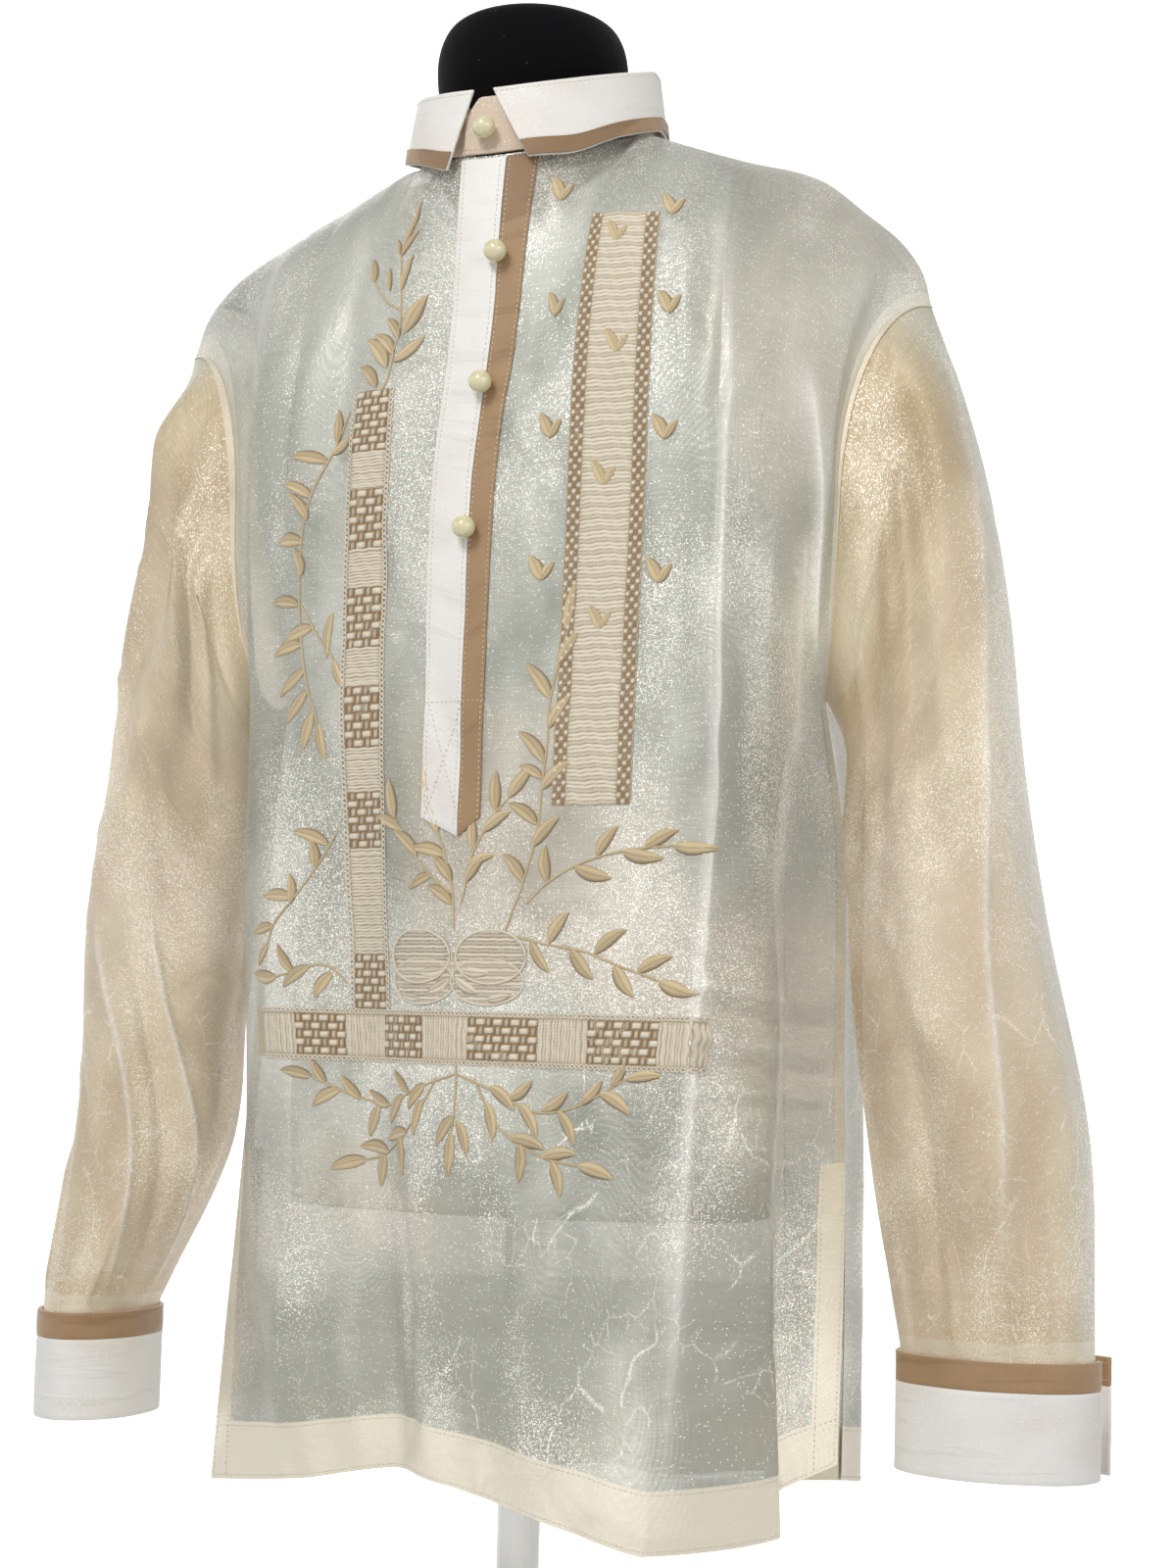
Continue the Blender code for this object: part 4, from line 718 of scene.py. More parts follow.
# ---- panels
class Panel:
    """A front or back panel: u runs across it, v up it (0 hem, 1 chest, 2 top edge)."""

    def __init__(self, sections, hem, top, sharp, folds, back):
        self.heights = np.array([row[0] for row in sections]) * MM
        self.inner = np.array([row[1:] for row in sections]) * MM
        self.hem_z = np.array(hem) * MM
        self.top_q = np.array(top)
        self.sharp = sharp
        self.folds = folds
        self.back = back
        reference = self.key_points(np.array([KEY_REFERENCE_Z]))[0]
        self.keys = travelled(reference)
        self.keys /= self.keys[-1]

    def key_points(self, z):
        count = self.inner.shape[1]
        flat = self.inner.reshape(len(self.heights), -1)
        middle = spline(self.heights, flat, z).reshape(len(z), count, 2)
        sides = (-1, 1) if not self.back else (1, -1)
        first = panel_side(z, sides[0], self.back)[:, None]
        last = panel_side(z, sides[1], self.back)[:, None]
        return np.concatenate([first, middle, last], axis=1)

    def section(self, u, z):
        xy = across(self.keys, self.key_points(z), self.sharp, u)
        return np.concatenate([xy, z[:, None]], axis=1)

    def hem(self, u):
        return spline(self.keys, self.hem_z, u)[:, 0]

    def lean(self, u, v):
        """The middle of the front leans toward the wearer's left above the chest."""
        if self.back:
            return u
        low, left, right, high = LEAN_U
        share = smooth((u - low) / (left - low)) * smooth((high - u) / (high - right))
        return u + LEAN * share * smooth((v - LEAN_V[0]) / (LEAN_V[1] - LEAN_V[0]))

    def base(self, u, v):
        u = self.lean(u, v)
        low = np.clip(v, 0, 1)
        level = HEM_Z + (CHEST_Z - HEM_Z) * low
        z = level + (self.hem(u) - HEM_Z) * np.clip(1 - low / HEM_FADE_V, 0, 1) ** 2
        point = self.section(u, z)
        q = np.interp(u, self.keys, self.top_q)
        top = top_path(q, self.back)
        span = np.radians(90.0 - NECK_FLATTEN * smooth(1.0 - np.abs(q) ** 2))
        angle = span * np.clip(v - 1, 0, 1)
        inward = ((1 - np.cos(angle)) / (1 - np.cos(span)))[:, None]
        upward = (np.sin(angle) / np.sin(span))[:, None]
        arc = point + (top - point) * inward
        arc[:, 2] = point[:, 2] + (top[:, 2] - point[:, 2]) * upward[:, 0]
        way = 1.0 if self.back else -1.0
        arc[:, 1] += way * SEAM_GAP * 1.5 * np.clip(v - 1, 0, 1)
        return np.where((v > 1)[:, None], arc, point)

    def rise(self, u, v):
        total = np.zeros_like(u)
        for u_top, u_low, v_low, v_top, width, rise in self.folds:
            along = (v - v_low) / (v_top - v_low)
            middle = u_low + (u_top - u_low) * np.clip(along, 0, 1)
            bump = np.exp(-((u - middle) / width) ** 2)
            start = 1.0 if v_low <= 0 else smooth(along / FOLD_START)
            total += rise * MM * bump * start * smooth((1 - along) / FOLD_END)
        return total * smooth(u / FOLD_EDGE_U) * smooth((1 - u) / FOLD_EDGE_U)

    def normals(self, u, v):
        """Outward normals of the base at places of the panel."""
        across_way = self.base(np.minimum(u + STEP, 1), v) - self.base(np.maximum(u - STEP, 0), v)
        up_way = self.base(u, np.minimum(v + STEP, 2)) - self.base(u, np.maximum(v - STEP, 0))
        return unit(np.cross(across_way, up_way))

    def u_at(self, x, z):
        """Column whose base point has this x at a height below the chest."""
        columns = np.linspace(0, 1, 400)
        found = self.section(columns, np.full(400, z))[:, 0]
        if self.back:
            found = -found
            x = -x
        return float(np.interp(x, np.maximum.accumulate(found), columns))

    def v_at(self, u, z):
        """Row at which column u reaches height z."""
        rows = np.linspace(0, 2, 800)
        found = self.base(np.full(800, u), rows)[:, 2]
        return float(np.interp(z, np.maximum.accumulate(found), rows))


def grid_normals(points):
    """Outward normals of a grid whose columns run across and rows run up."""
    normal = np.cross(np.gradient(points, axis=1), np.gradient(points, axis=0))
    length = np.linalg.norm(normal, axis=2, keepdims=True)
    return normal / np.maximum(length, 1e-12)


class Sleeve:
    """A sleeve tube: turn runs from its outer side to the front, w from armhole to wrist."""

    def __init__(self, rows, side):
        table = np.array(rows, float) * MM
        self.side = side
        self.level = np.linspace(0, 1, len(rows))
        self.table = table

    def base(self, turn, w):
        row = spline(self.level, self.table, w)
        outer_z, inner_z, centre, half, front, back = row.T
        angle = 2 * math.pi * turn
        level = np.cos(angle)
        swing = np.sin(angle)
        depth = np.where(swing > 0, front, back)
        x = centre + self.side * half * level
        y = -depth * swing
        z = (outer_z + inner_z) / 2 + (outer_z - inner_z) / 2 * level
        body = np.stack([x, y, z], -1)
        start = armhole(turn, self.side)
        blend = np.clip(w / SLEEVE_HEAD_BLEND, 0, 1)[:, None]
        return start * (1 - blend) + body * blend

    def rise(self, turn, w):
        total = np.zeros_like(turn)
        for turn_top, turn_low, w_top, w_low, width, rise in SLEEVE_FOLDS:
            along = (w - w_top) / (w_low - w_top)
            middle = turn_top + (turn_low - turn_top) * np.clip(along, 0, 1)
            away = (turn - middle + 0.5) % 1.0 - 0.5
            end = 1.0 if w_low >= 1 else smooth((1 - along) / FOLD_END)
            total += rise * MM * np.exp(-(away / width) ** 2) * smooth(along / FOLD_START) * end
        return total * (1 - 0.75 * smooth((w - 0.85) / 0.15))

    def normal(self, turn, w):
        step = 0.003
        around = self.base(turn + step, w) - self.base(turn - step, w)
        down = self.base(turn, np.minimum(w + step, 1)) - self.base(turn, np.maximum(w - step, 0))
        normal = np.cross(around, down) * self.side
        return unit(normal)


def cuff_ring(sleeve, turns, z, outward):
    """Points round the wrist at a height; the loose end swings out as the underlap."""
    wrist = sleeve.base(turns, np.ones(len(turns)))
    centre = wrist.mean(axis=0)
    away = wrist - centre
    away[:, 2] = 0
    away = unit(away)
    flare = CUFF_FLARE[sleeve.side] * smooth(1 - (CUFF_END_TURN - turns) / CUFF_FLARE_TURN)
    points = wrist + away * (outward + flare)[:, None]
    points[:, 2] = z
    return points


def form_row(panel, v):
    """Form's surface just inside a panel, on a row at or over the chest."""
    columns = np.linspace(FORM_EDGE_U, 1 - FORM_EDGE_U, FORM_COLUMNS)
    rows = np.full(FORM_COLUMNS, v)
    step = 0.004
    across_way = panel.base(columns + step, rows) - panel.base(columns - step, rows)
    up_way = panel.base(columns, np.minimum(rows + step, 2)) - panel.base(columns, rows - step)
    normal = unit(np.cross(across_way, up_way))
    q = np.abs(np.interp(columns, panel.keys, panel.top_q))
    seat = np.exp(-((q - FORM_SEAT_Q) / FORM_SEAT_WIDTH) ** 2) * smooth((v - 1.9) / 0.1)
    gap = FORM_SLACK + (FORM_RIDGE_SLACK - FORM_SLACK) * smooth(v - 1)
    gap = gap + FORM_TIP_DROP * (smooth((q - 1.55) / 0.4) + smooth((1.15 - q) / 0.2))
    gap += (FORM_GAP - gap) * seat
    away = CLOTH + gap - np.minimum(panel.rise(columns, rows), 0)
    point = panel.base(columns, rows) - normal * away[:, None]
    if v == 2:
        point[:, 1] += FORM_RIDGE if panel.back else -FORM_RIDGE
    return point


def neck_floor(x, y):
    """Height of the form's top between the front and back of the neckline."""
    half = np.where(x > 0, NECK_LEFT_WIDTH, NECK_RIGHT_WIDTH)
    turn = np.degrees(np.arcsin(np.clip(x / half, -0.97, 0.97)))
    front = neckline(turn)
    back = neckline(180.0 - turn)
    share = (y - front[..., 1]) / (back[..., 1] - front[..., 1])
    return front[..., 2] + (back[..., 2] - front[..., 2]) * share


# ---- shader maths
class Value:
    """A shader socket in an expression: each operator adds its Math node."""

    def __init__(self, net, socket):
        self.net = net
        self.socket = socket


def operator(operation, swapped):
    """Method of Value for one of Python's operators, or for its swapped form."""
    def apply(self, other):
        pair = (other, self) if swapped else (self, other)
        return self.net.math(operation, *pair)
    return apply


for SIGN, OPERATION in (("add", "ADD"), ("sub", "SUBTRACT"), ("mul", "MULTIPLY")):
    setattr(Value, f"__{SIGN}__", operator(OPERATION, False))
    setattr(Value, f"__r{SIGN}__", operator(OPERATION, True))
Value.__gt__ = operator("GREATER_THAN", False)
Value.__lt__ = operator("LESS_THAN", False)


class Finish:
    """A material with its Principled shader and the nodes that feed it."""

    def __init__(self, name, **constants):
        self.material = bpy.data.materials.new(name)
        self.material.use_nodes = True
        self.tree = self.material.node_tree
        self.shader = self.tree.nodes["Principled BSDF"]
        self.spread = "3D"
        for key, value in constants.items():
            self.shader.inputs[key.replace("_", " ").title()].default_value = value

    def node(self, kind, settings, inputs):
        """Any node, from its type, its settings and the values or links of its sockets."""
        made = self.tree.nodes.new("ShaderNode" + kind)
        for key, value in settings.items():
            setattr(made, key, value)
        for key, value in inputs.items():
            self.feed(made.inputs[key], value)
        return made

    def feed(self, socket, value):
        if isinstance(value, Value):
            self.tree.links.new(value.socket, socket)
        elif value is not None:
            socket.default_value = value

    def value(self, made, output=0):
        return Value(self, made.outputs[output])

    def math(self, operation, first, second=None):
        return self.value(self.node("Math", {"operation": operation}, {0: first, 1: second}))

    def clamp(self, amount):
        settings = {"operation": "ADD", "use_clamp": True}
        return self.value(self.node("Math", settings, {0: amount, 1: 0.0}))

    def sine(self, amount):
        return self.math("SINE", amount)

    def step(self, amount, low, high):
        """Smooth step from 0 at low to 1 at high."""
        settings = {"interpolation_type": "SMOOTHSTEP"}
        inputs = {"Value": amount, "From Min": low, "From Max": high}
        return self.value(self.node("MapRange", settings, inputs))

    def mix(self, first, second, share):
        """Colour between two colours."""
        inputs = {0: share, 6: first, 7: second}
        return self.value(self.node("Mix", {"data_type": "RGBA"}, inputs), 2)

    def scaled(self, vector, factors):
        settings = {"operation": "MULTIPLY"}
        return self.value(self.node("VectorMath", settings, {0: vector, 1: factors}))

    def moved(self, vector, offset):
        settings = {"operation": "ADD"}
        return self.value(self.node("VectorMath", settings, {0: vector, 1: offset}))

    def split(self, vector):
        made = self.node("SeparateXYZ", {}, {0: vector})
        return [self.value(made, index) for index in range(3)]

    def attribute(self, name, output="Vector"):
        return self.value(self.node("Attribute", {"attribute_name": name}, {}), output)

    def place(self):
        """Place on the object, in metres."""
        return self.value(self.node("TexCoord", {}, {}), "Object")

    def texture(self, kind, output, vector, scale, settings, **inputs):
        """A noise or cell texture over one of the two spreads, flat or solid."""
        spread = "noise_dimensions" if kind == "TexNoise" else "voronoi_dimensions"
        inputs = {"Vector": vector, "Scale": scale, **inputs}
        return self.value(self.node(kind, {**settings, spread: self.spread}, inputs), output)

    def noise(self, vector, scale, detail=2.0, rough=0.5):
        return self.texture("TexNoise", 0, vector, scale, {}, Detail=detail, Roughness=rough)

    def threads(self, vector, across, along, detail=2.0, rough=0.5):
        """Noise drawn out along the cloth's two ways."""
        return self.noise(self.scaled(vector, (across, along, 1.0)), 1.0, detail, rough)

    def noise_vector(self, vector, scale):
        return self.texture("TexNoise", 1, vector, scale, {}, Detail=1.0)

    def cells(self, vector, scale):
        """Random colour of each small cell."""
        return self.texture("TexVoronoi", "Color", vector, scale, {})

    def cell_edges(self, vector, scale):
        settings = {"feature": "DISTANCE_TO_EDGE"}
        return self.texture("TexVoronoi", "Distance", vector, scale, settings)

    def bump(self, height, distance, strength):
        inputs = {"Height": height, "Distance": distance, "Strength": strength}
        made = self.node("Bump", {}, inputs)
        self.feed(self.shader.inputs["Normal"], self.value(made))

    def set(self, **inputs):
        """Feeds the shader's sockets, named with underscores."""
        for key, value in inputs.items():
            self.feed(self.shader.inputs[key.replace("_", " ").title()], value)


# ---- finishes
def colour(red, green, blue):
    """Linear colour from the 0 to 255 values of a paint chip."""
    return tuple(((value / 255) ** 2.2) for value in (red, green, blue)) + (1.0,)


# Colours of painted highlights: bright specks and crease glints on the sheer and white cloth
WHITE_GLINT = colour(255, 253, 248)
PINK_GLINT = colour(255, 205, 195)
GREEN_GLINT = colour(205, 235, 205)
DOUBLED = colour(253, 244, 225)
DOUBLED_SHADE = colour(226, 217, 198)
# Grey of the painted shade at the hem's low end
END_SHADE_COLOUR = colour(168, 164, 150)
BLUSH = colour(226, 208, 186)
LOW_VEIL = 0.24
SEAM_VEIL = 0.45
# Cooler colour: a cool tint at the chest, and painted shade along the sleeves' outer side
COOL = colour(196, 200, 188)
COVER_TONE = colour(112, 86, 60)
UNLIT = (0.0, 0.0, 0.0, 1.0)
# Strength at which the painted highlights glow through emission
GLINT_STRENGTH = 0.35
# Widths in metres of a thread and of the cover's knitted rows and ribs
STRAND = 0.0007
KNIT_ROW = 0.0016
KNIT_RIB = 0.0019


def above_cover(look, below):
    """1 where the neck's dark cover lies behind, from below its edge upward."""
    x, y, z = look.split(look.place())
    centre = x - COVER_EDGE_X
    edge = COVER_EDGE_Z + centre * centre * COVER_EDGE_RISE + y * 0.1 - below
    return look.step(z - edge, -0.002, 0.002)


def organza(name, light, shade, cover, glint_amount, layers, tint_and_shade, metal, cloudy=2.1):
    """Sheer crisp cloth: slub threads both ways and watered ripples, with painted highlights of
    bright specks and crease glints that glow; cloudy is how far its sheen varies in long soft
    patches."""
    look = Finish(name, metallic=metal, sheen_weight=0.2, sheen_roughness=0.4,
                  emission_strength=GLINT_STRENGTH)
    look.spread = "2D"
    cloth = look.attribute("cloth")
    wander = look.scaled(look.noise_vector(cloth, 22.0), (0.018, 0.018, 0.0))
    bent = look.moved(cloth, wander)
    slub = look.threads(bent, 60.0, 1100.0)
    warp = look.threads(bent, 1100.0, 26.0)
    cloud = look.threads(bent, 14.0, 7.0, 2.0, 0.6)
    patch = look.step(look.noise(cloth, 6.5, 1.0), 0.40, 0.62)
    water = look.threads(cloth, 8.0, 5.0, 1.0)
    ripple = look.sine(water * 620.0) * 0.5 + 0.5
    # Painted highlights: bright specks in pink, green and white, denser in patches
    first, second, _ = look.split(look.cells(cloth, 2300.0))
    dense = look.step(look.threads(cloth, 11.0, 6.0), 0.44, 0.66)
    spark = first > 1.0 - (dense * 1.3 + 0.1) * glint_amount
    glint = look.mix(PINK_GLINT, GREEN_GLINT, look.step(second, 0.18, 0.2))
    glint = look.mix(glint, WHITE_GLINT, look.step(second, 0.3, 0.34))
    # Painted highlights along thin broken crease lines, strongest where the glint density is high
    squiggle = look.moved(cloth, look.scaled(look.noise_vector(cloth, 38.0), (0.016, 0.016, 0.0)))
    coarse = look.cell_edges(look.scaled(squiggle, (1.0, 0.6, 1.0)), 27.0)
    lines = 1.0 - look.step(coarse, 0.0, 0.028)
    small = look.cell_edges(look.scaled(squiggle, (1.3, 1.0, 1.0)), 70.0)
    fine = 1.0 - look.step(small, 0.0, 0.07)
    broken = look.step(look.noise(cloth, 24.0, 1.0), 0.53, 0.62)
    torn = look.step(look.noise(cloth, 34.0, 1.0), 0.54, 0.62)
    dotted = (first > 0.5) * 0.9 + 0.1
    crease_glint = look.clamp((lines * broken * 0.7 + fine * torn * 0.45) * dotted
                           * look.attribute("crinkle", "Fac"))
    # Painted highlight: a bright line along each pressed fold
    pressed = look.attribute("pressed", "Fac")
    u, v, _ = look.split(look.attribute("place"))
    doubled = layers(look, u, v)
    # cool mixes in the cooler colour and dim darkens the tone; below the form on the body the
    # darkening is painted shade
    cool, dim = tint_and_shade(look, u, v)
    tone = look.clamp((cloud - 0.48) * cloudy + slub * 0.4 + ripple * patch * 0.22
                      + dense * 0.2 - dim)
    base = look.mix(shade, light, tone)
    blush = look.step(look.noise(cloth, 5.5, 1.0), 0.48, 0.72)
    base = look.mix(base, BLUSH, blush * 0.35)
    # On the sleeves this mixes in painted shade along their outer side
    base = look.mix(base, COOL, cool)
    # The painted highlights lighten the colour and glow through emission, less on doubled cloth
    bright = look.clamp((spark * 0.7 + crease_glint * 0.8) * (1.0 - doubled * 0.7))
    base = look.mix(base, glint, bright)
    base = look.mix(base, look.mix(DOUBLED_SHADE, DOUBLED, tone), doubled * 0.85)
    base = look.mix(base, WHITE_GLINT, pressed * 0.6)
    look.set(
        base_color=base,
        emission_color=look.mix(UNLIT, glint, bright),
        alpha=look.clamp(cover + (slub - 0.5) * 0.2 + (warp - 0.5) * 0.16 + spark * 0.3
                         + crease_glint * 0.35 + doubled * 0.3 + pressed * 0.2
                         + look.step(v, LOW_VEIL, 0.0) * 0.24
                         - above_cover(look, 0.012) * 0.22),
        roughness=look.clamp(0.5 - spark * 0.2 - ripple * patch * 0.1),
    )
    look.bump(slub * 0.5 + warp * 0.5, 0.0006, 0.5)
    return look.material


def cotton(name, light, shade, weave=1500.0, glint_amount=0.0, behind=0.0, end_shade=0.0):
    """Woven cloth with a soft lustre, fine threads and faint cross creases; behind is how much
    the neck's dark cover shows through it, and end_shade how far painted shade greys its low left
    end."""
    look = Finish(name, roughness=0.6, sheen_weight=0.35, sheen_roughness=0.4)
    look.spread = "2D"
    cloth = look.attribute("cloth")
    threads = look.threads(cloth, weave, 120.0)
    cross = look.threads(cloth, 70.0, weave)
    crease = look.step(look.threads(cloth, 18.0, 120.0), 0.55, 0.72)
    cloud = look.noise(cloth, 30.0, 3.0)
    # Creases are painted darker, as shade in their folds, besides their bump
    tone = look.clamp(0.05 + threads * 0.35 + cross * 0.25 + cloud * 0.55 - crease * 0.25)
    base = look.mix(shade, light, tone)
    if glint_amount:
        blush = look.step(look.threads(cloth, 9.0, 14.0), 0.45, 0.65)
        base = look.mix(base, BLUSH, blush * 0.3)
        # Painted highlights: bright white specks, denser in patches
        spark, _, _ = look.split(look.cells(cloth, 1500.0))
        dense = look.step(look.threads(cloth, 24.0, 12.0, 3.0), 0.4, 0.7)
        base = look.mix(base, WHITE_GLINT, (spark > 1.0 - (dense + 0.1) * glint_amount) * 0.9)
    if behind:
        base = look.mix(base, COVER_TONE, above_cover(look, 0.0) * behind)
    if end_shade:
        x, y, z = look.split(look.place())
        # Painted shade: the low end of the hem on the wearer's left front turns grey
        low_end = look.step(x, 0.06, 0.15) * (1.0 - look.step(z, 0.13, 0.15))
        base = look.mix(base, END_SHADE_COLOUR, low_end * (1.0 - look.step(y, -0.03, 0.0)) * end_shade)
    look.set(base_color=base, roughness=0.45 + cross * 0.25)
    look.bump(threads * 0.4 + cross * 0.5 + crease * 0.8, 0.0005, 0.45)
    return look.material


def satin_thread(name, light, shade, recess_shade):
    """Embroidery thread laid side by side; tone runs from the painted shade of the recesses to the
    painted light of the crowns.
    """
    look = Finish(name, roughness=0.42, sheen_weight=0.3, sheen_roughness=0.35)
    along, _, _ = look.split(look.attribute("thread"))
    strand = look.sine(along * (2 * math.pi / STRAND)) * 0.5 + 0.5
    fray = look.noise(look.attribute("thread"), 900.0, 2.0)
    tone = look.attribute("tone", "Fac")
    lit = look.mix(shade, light, look.clamp(strand * 0.35 + fray * 0.5 + 0.15))
    look.set(
        base_color=look.mix(recess_shade, lit, look.clamp(tone * 1.1)),
        roughness=0.55 - strand * 0.15,
    )
    look.bump(strand + fray * 0.4, 0.0003, 0.6)
    return look.material


def pearl(name):
    """Cream ball with a deep soft gloss and faint clouding."""
    look = Finish(name, roughness=0.2, coat_weight=0.8, coat_roughness=0.08)
    place = look.place()
    cloud = look.noise(place, 160.0, 2.0)
    swirl = look.noise(look.scaled(place, (1.0, 1.0, 3.0)), 260.0, 2.0)
    base = look.mix(colour(214, 200, 138), colour(246, 241, 205), look.clamp(cloud * 1.1))
    look.set(base_color=base, roughness=0.15 + swirl * 0.15)
    look.bump(swirl, 0.0001, 0.15)
    return look.material


def velvet(name):
    look = Finish(name, roughness=0.95, sheen_weight=0.08, sheen_roughness=0.35)
    place = look.place()
    nap = look.noise(place, 1400.0, 2.0)
    brushed = look.noise(place, 22.0, 3.0)
    look.shader.inputs["Specular IOR Level"].default_value = 0.1
    lint = look.step(look.noise(place, 500.0, 0.0), 0.84, 0.88)
    base = look.mix(colour(6, 6, 8), colour(18, 18, 21), look.clamp(brushed * nap * 1.4))
    base = look.mix(base, colour(90, 88, 84), lint * 0.4)
    look.set(base_color=base)
    look.bump(nap, 0.0006, 0.6)
    return look.material


def jersey_cover(name):
    """Pale knitted cover of the torso; the neck's dark cover runs down to a round edge."""
    look = Finish(name, roughness=0.85, sheen_weight=0.2)
    place = look.place()
    x, _, z = look.split(place)
    rows = look.sine(z * (2 * math.pi / KNIT_ROW)) * 0.5 + 0.5
    ribs = look.sine(x * (2 * math.pi / KNIT_RIB)) * 0.5 + 0.5
    cloud = look.noise(place, 14.0, 3.0)
    pale = look.mix(colour(176, 178, 176), colour(214, 215, 212),
                    look.clamp(cloud * 0.8 + rows * 0.2))
    dark = above_cover(look, 0.0)
    neck = look.mix(colour(96, 80, 62), colour(128, 108, 84), look.clamp(cloud))
    look.set(base_color=look.mix(pale, neck, dark))
    look.bump(rows * 0.5 + ribs * 0.5, 0.0003, 0.4)
    return look.material


def enamel(name):
    """White baked enamel with a fine orange-peel surface and faint dust."""
    look = Finish(name, roughness=0.32, coat_weight=0.3, coat_roughness=0.2)
    place = look.place()
    peel = look.noise(place, 420.0, 2.0)
    dust = look.noise(place, 26.0, 3.0)
    base = look.mix(colour(226, 226, 224), colour(242, 242, 240), look.clamp(dust * 0.9 + 0.1))
    look.set(base_color=base, roughness=0.26 + dust * 0.2)
    look.bump(peel, 0.0002, 0.2)
    return look.material


# ---- meshes
def grid_faces(rows, columns, start=0):
    """Quads of a grid of points that runs row by row."""
    row, column = np.meshgrid(np.arange(rows - 1), np.arange(columns - 1), indexing="ij")
    first = (row * columns + column).ravel() + start
    return np.stack([first, first + 1, first + 1 + columns, first + columns], axis=1)


def add_object(name, data):
    made = bpy.data.objects.new(name, data)
    bpy.context.scene.collection.objects.link(made)
    return made


def add_mesh(name, points, faces, look, sharp_angle=None, **attributes):
    """Mesh object with one finish; attributes are numbers or vectors for each point."""
    mesh = bpy.data.meshes.new(name)
    mesh.from_pydata(points.tolist(), [], faces if isinstance(faces, list) else faces.tolist())
    for key, values in attributes.items():
        values = np.ascontiguousarray(values, np.float32)
        kind, field = ("FLOAT_VECTOR", "vector") if values.ndim == 2 else ("FLOAT", "value")
        mesh.attributes.new(key, kind, "POINT").data.foreach_set(field, values.ravel())
    mesh.materials.append(look)
    mesh.shade_smooth()
    if sharp_angle:
        mesh.set_sharp_from_angle(angle=math.radians(sharp_angle))
    return add_object(name, mesh)


def cloth_places(points):
    """Places on the flat cloth, in metres across and along, for a grid of points."""
    middle = points[len(points) // 2]
    side = points[:, points.shape[1] // 2]
    u, v = np.meshgrid(travelled(middle), travelled(side))
    return np.stack([u.ravel(), v.ravel(), np.zeros(u.size)], axis=1)


def cloth_sheet(name, points, look, place, crinkle=0.0, pressed=0.0):
    """Thin sheet of cloth; place holds its panel's own u and v."""
    rows, columns = points.shape[:2]
    own = np.stack([place[0].ravel(), place[1].ravel(), np.zeros(rows * columns)], axis=1)
    # The two masks below are painted highlights: crease glints and the bright line along pressed
    # folds
    amount = np.broadcast_to(crinkle, (rows, columns)).ravel()
    sharp = np.broadcast_to(pressed, (rows, columns)).ravel()
    return add_mesh(name, points.reshape(-1, 3), grid_faces(rows, columns), look,
                    cloth=cloth_places(points), place=own, crinkle=amount, pressed=sharp)


def cloth_wall(name, points, normals, low, high, look, round_edge=0.35 * MM):
    """Closed cloth wall with rounded edges, for collars, cuffs and trims."""
    rows, columns = points.shape[:2]
    count = rows * columns
    outer = (points + normals * high).reshape(-1, 3)
    inner = (points + normals * low).reshape(-1, 3)
    faces = grid_faces(rows, columns)
    index = np.arange(count).reshape(rows, columns)
    rim = np.concatenate([index[0], index[1:, -1], index[-1, -2::-1], index[-2:0:-1, 0]])
    after = np.roll(rim, -1)
    edge = np.stack([after, rim, rim + count, after + count], axis=1)
    places = cloth_places(points)
    made = add_mesh(name, np.concatenate([outer, inner]),
                    np.concatenate([faces, faces[:, ::-1] + count, edge]), look,
                    cloth=np.concatenate([places, places]))
    bevel = made.modifiers.new("soft edge", "BEVEL")
    bevel.width = round_edge
    bevel.segments = 2
    bevel.limit_method = "ANGLE"
    bevel.angle_limit = math.radians(50)
    return made


def turned(name, profile, look, sides=48):
    """Turned solid from (radius, z) pairs that run from its foot to its top."""
    angle = np.linspace(0, 2 * math.pi, sides, endpoint=False)
    rings = [np.stack([r * np.cos(angle), r * np.sin(angle), np.full(sides, z)], axis=1)
             for r, z in profile]
    points = np.concatenate(rings)
    ring, step = np.meshgrid(np.arange(len(profile) - 1), np.arange(sides), indexing="ij")
    a = (ring * sides + step).ravel()
    b = (ring * sides + (step + 1) % sides).ravel()
    faces = np.stack([a, b, b + sides, a + sides], axis=1).tolist()
    faces.append(list(range(sides))[::-1])
    faces.append([len(points) - sides + k for k in range(sides)])
    return add_mesh(name, points, faces, look, 40)


def creases(a, b, table):
    """Height in mm of listed creases at places a across and b along, in mm."""
    total = np.zeros_like(a)
    for a0, b0, a1, b1, width, rise in table:
        way_a = a1 - a0
        way_b = b1 - b0
        length = math.hypot(way_a, way_b)
        along = ((a - a0) * way_a + (b - b0) * way_b) / length ** 2
        away = ((a - a0) * way_b - (b - b0) * way_a) / length
        ends = smooth(along / 0.25) * smooth((1 - along) / 0.25)
        total += rise * np.exp(-(away / width) ** 2) * ends
    return total


def ridges(a, b, table, around=None, pressed=False):
    """Height in mm of long folds that run down the cloth; around is the size of a tube.
    With pressed, it is instead the painted highlight along the press folds, from 0 to 1."""
    total = np.zeros_like(a)
    for kind, line, width, rise in table:
        if pressed:
            if kind != "press":
                continue
            width = PRESSED_HIGHLIGHT_WIDTH
            rise = 1.0
        across, up = np.array(sorted(line, key=lambda place: place[1]), float).T
        away = a - np.interp(b, up, across)
        if around:
            away = (away + around / 2) % around - around / 2
        reach = (up[-1] - up[0]) * 0.2
        ends = smooth((b - up[0]) / reach) * smooth((up[-1] - b) / reach)
        if kind == "lap":
            width = np.where(away < 0, width * 0.35, width)
        spread = np.abs(away / width)
        total += rise * ends * np.exp(-spread if kind == "press" else -spread ** 2)
    return total


def crushes(rng, tables):
    """Small crushed creases from several scatters."""
    return [crease for table in tables for crease in crush(rng, *table)]


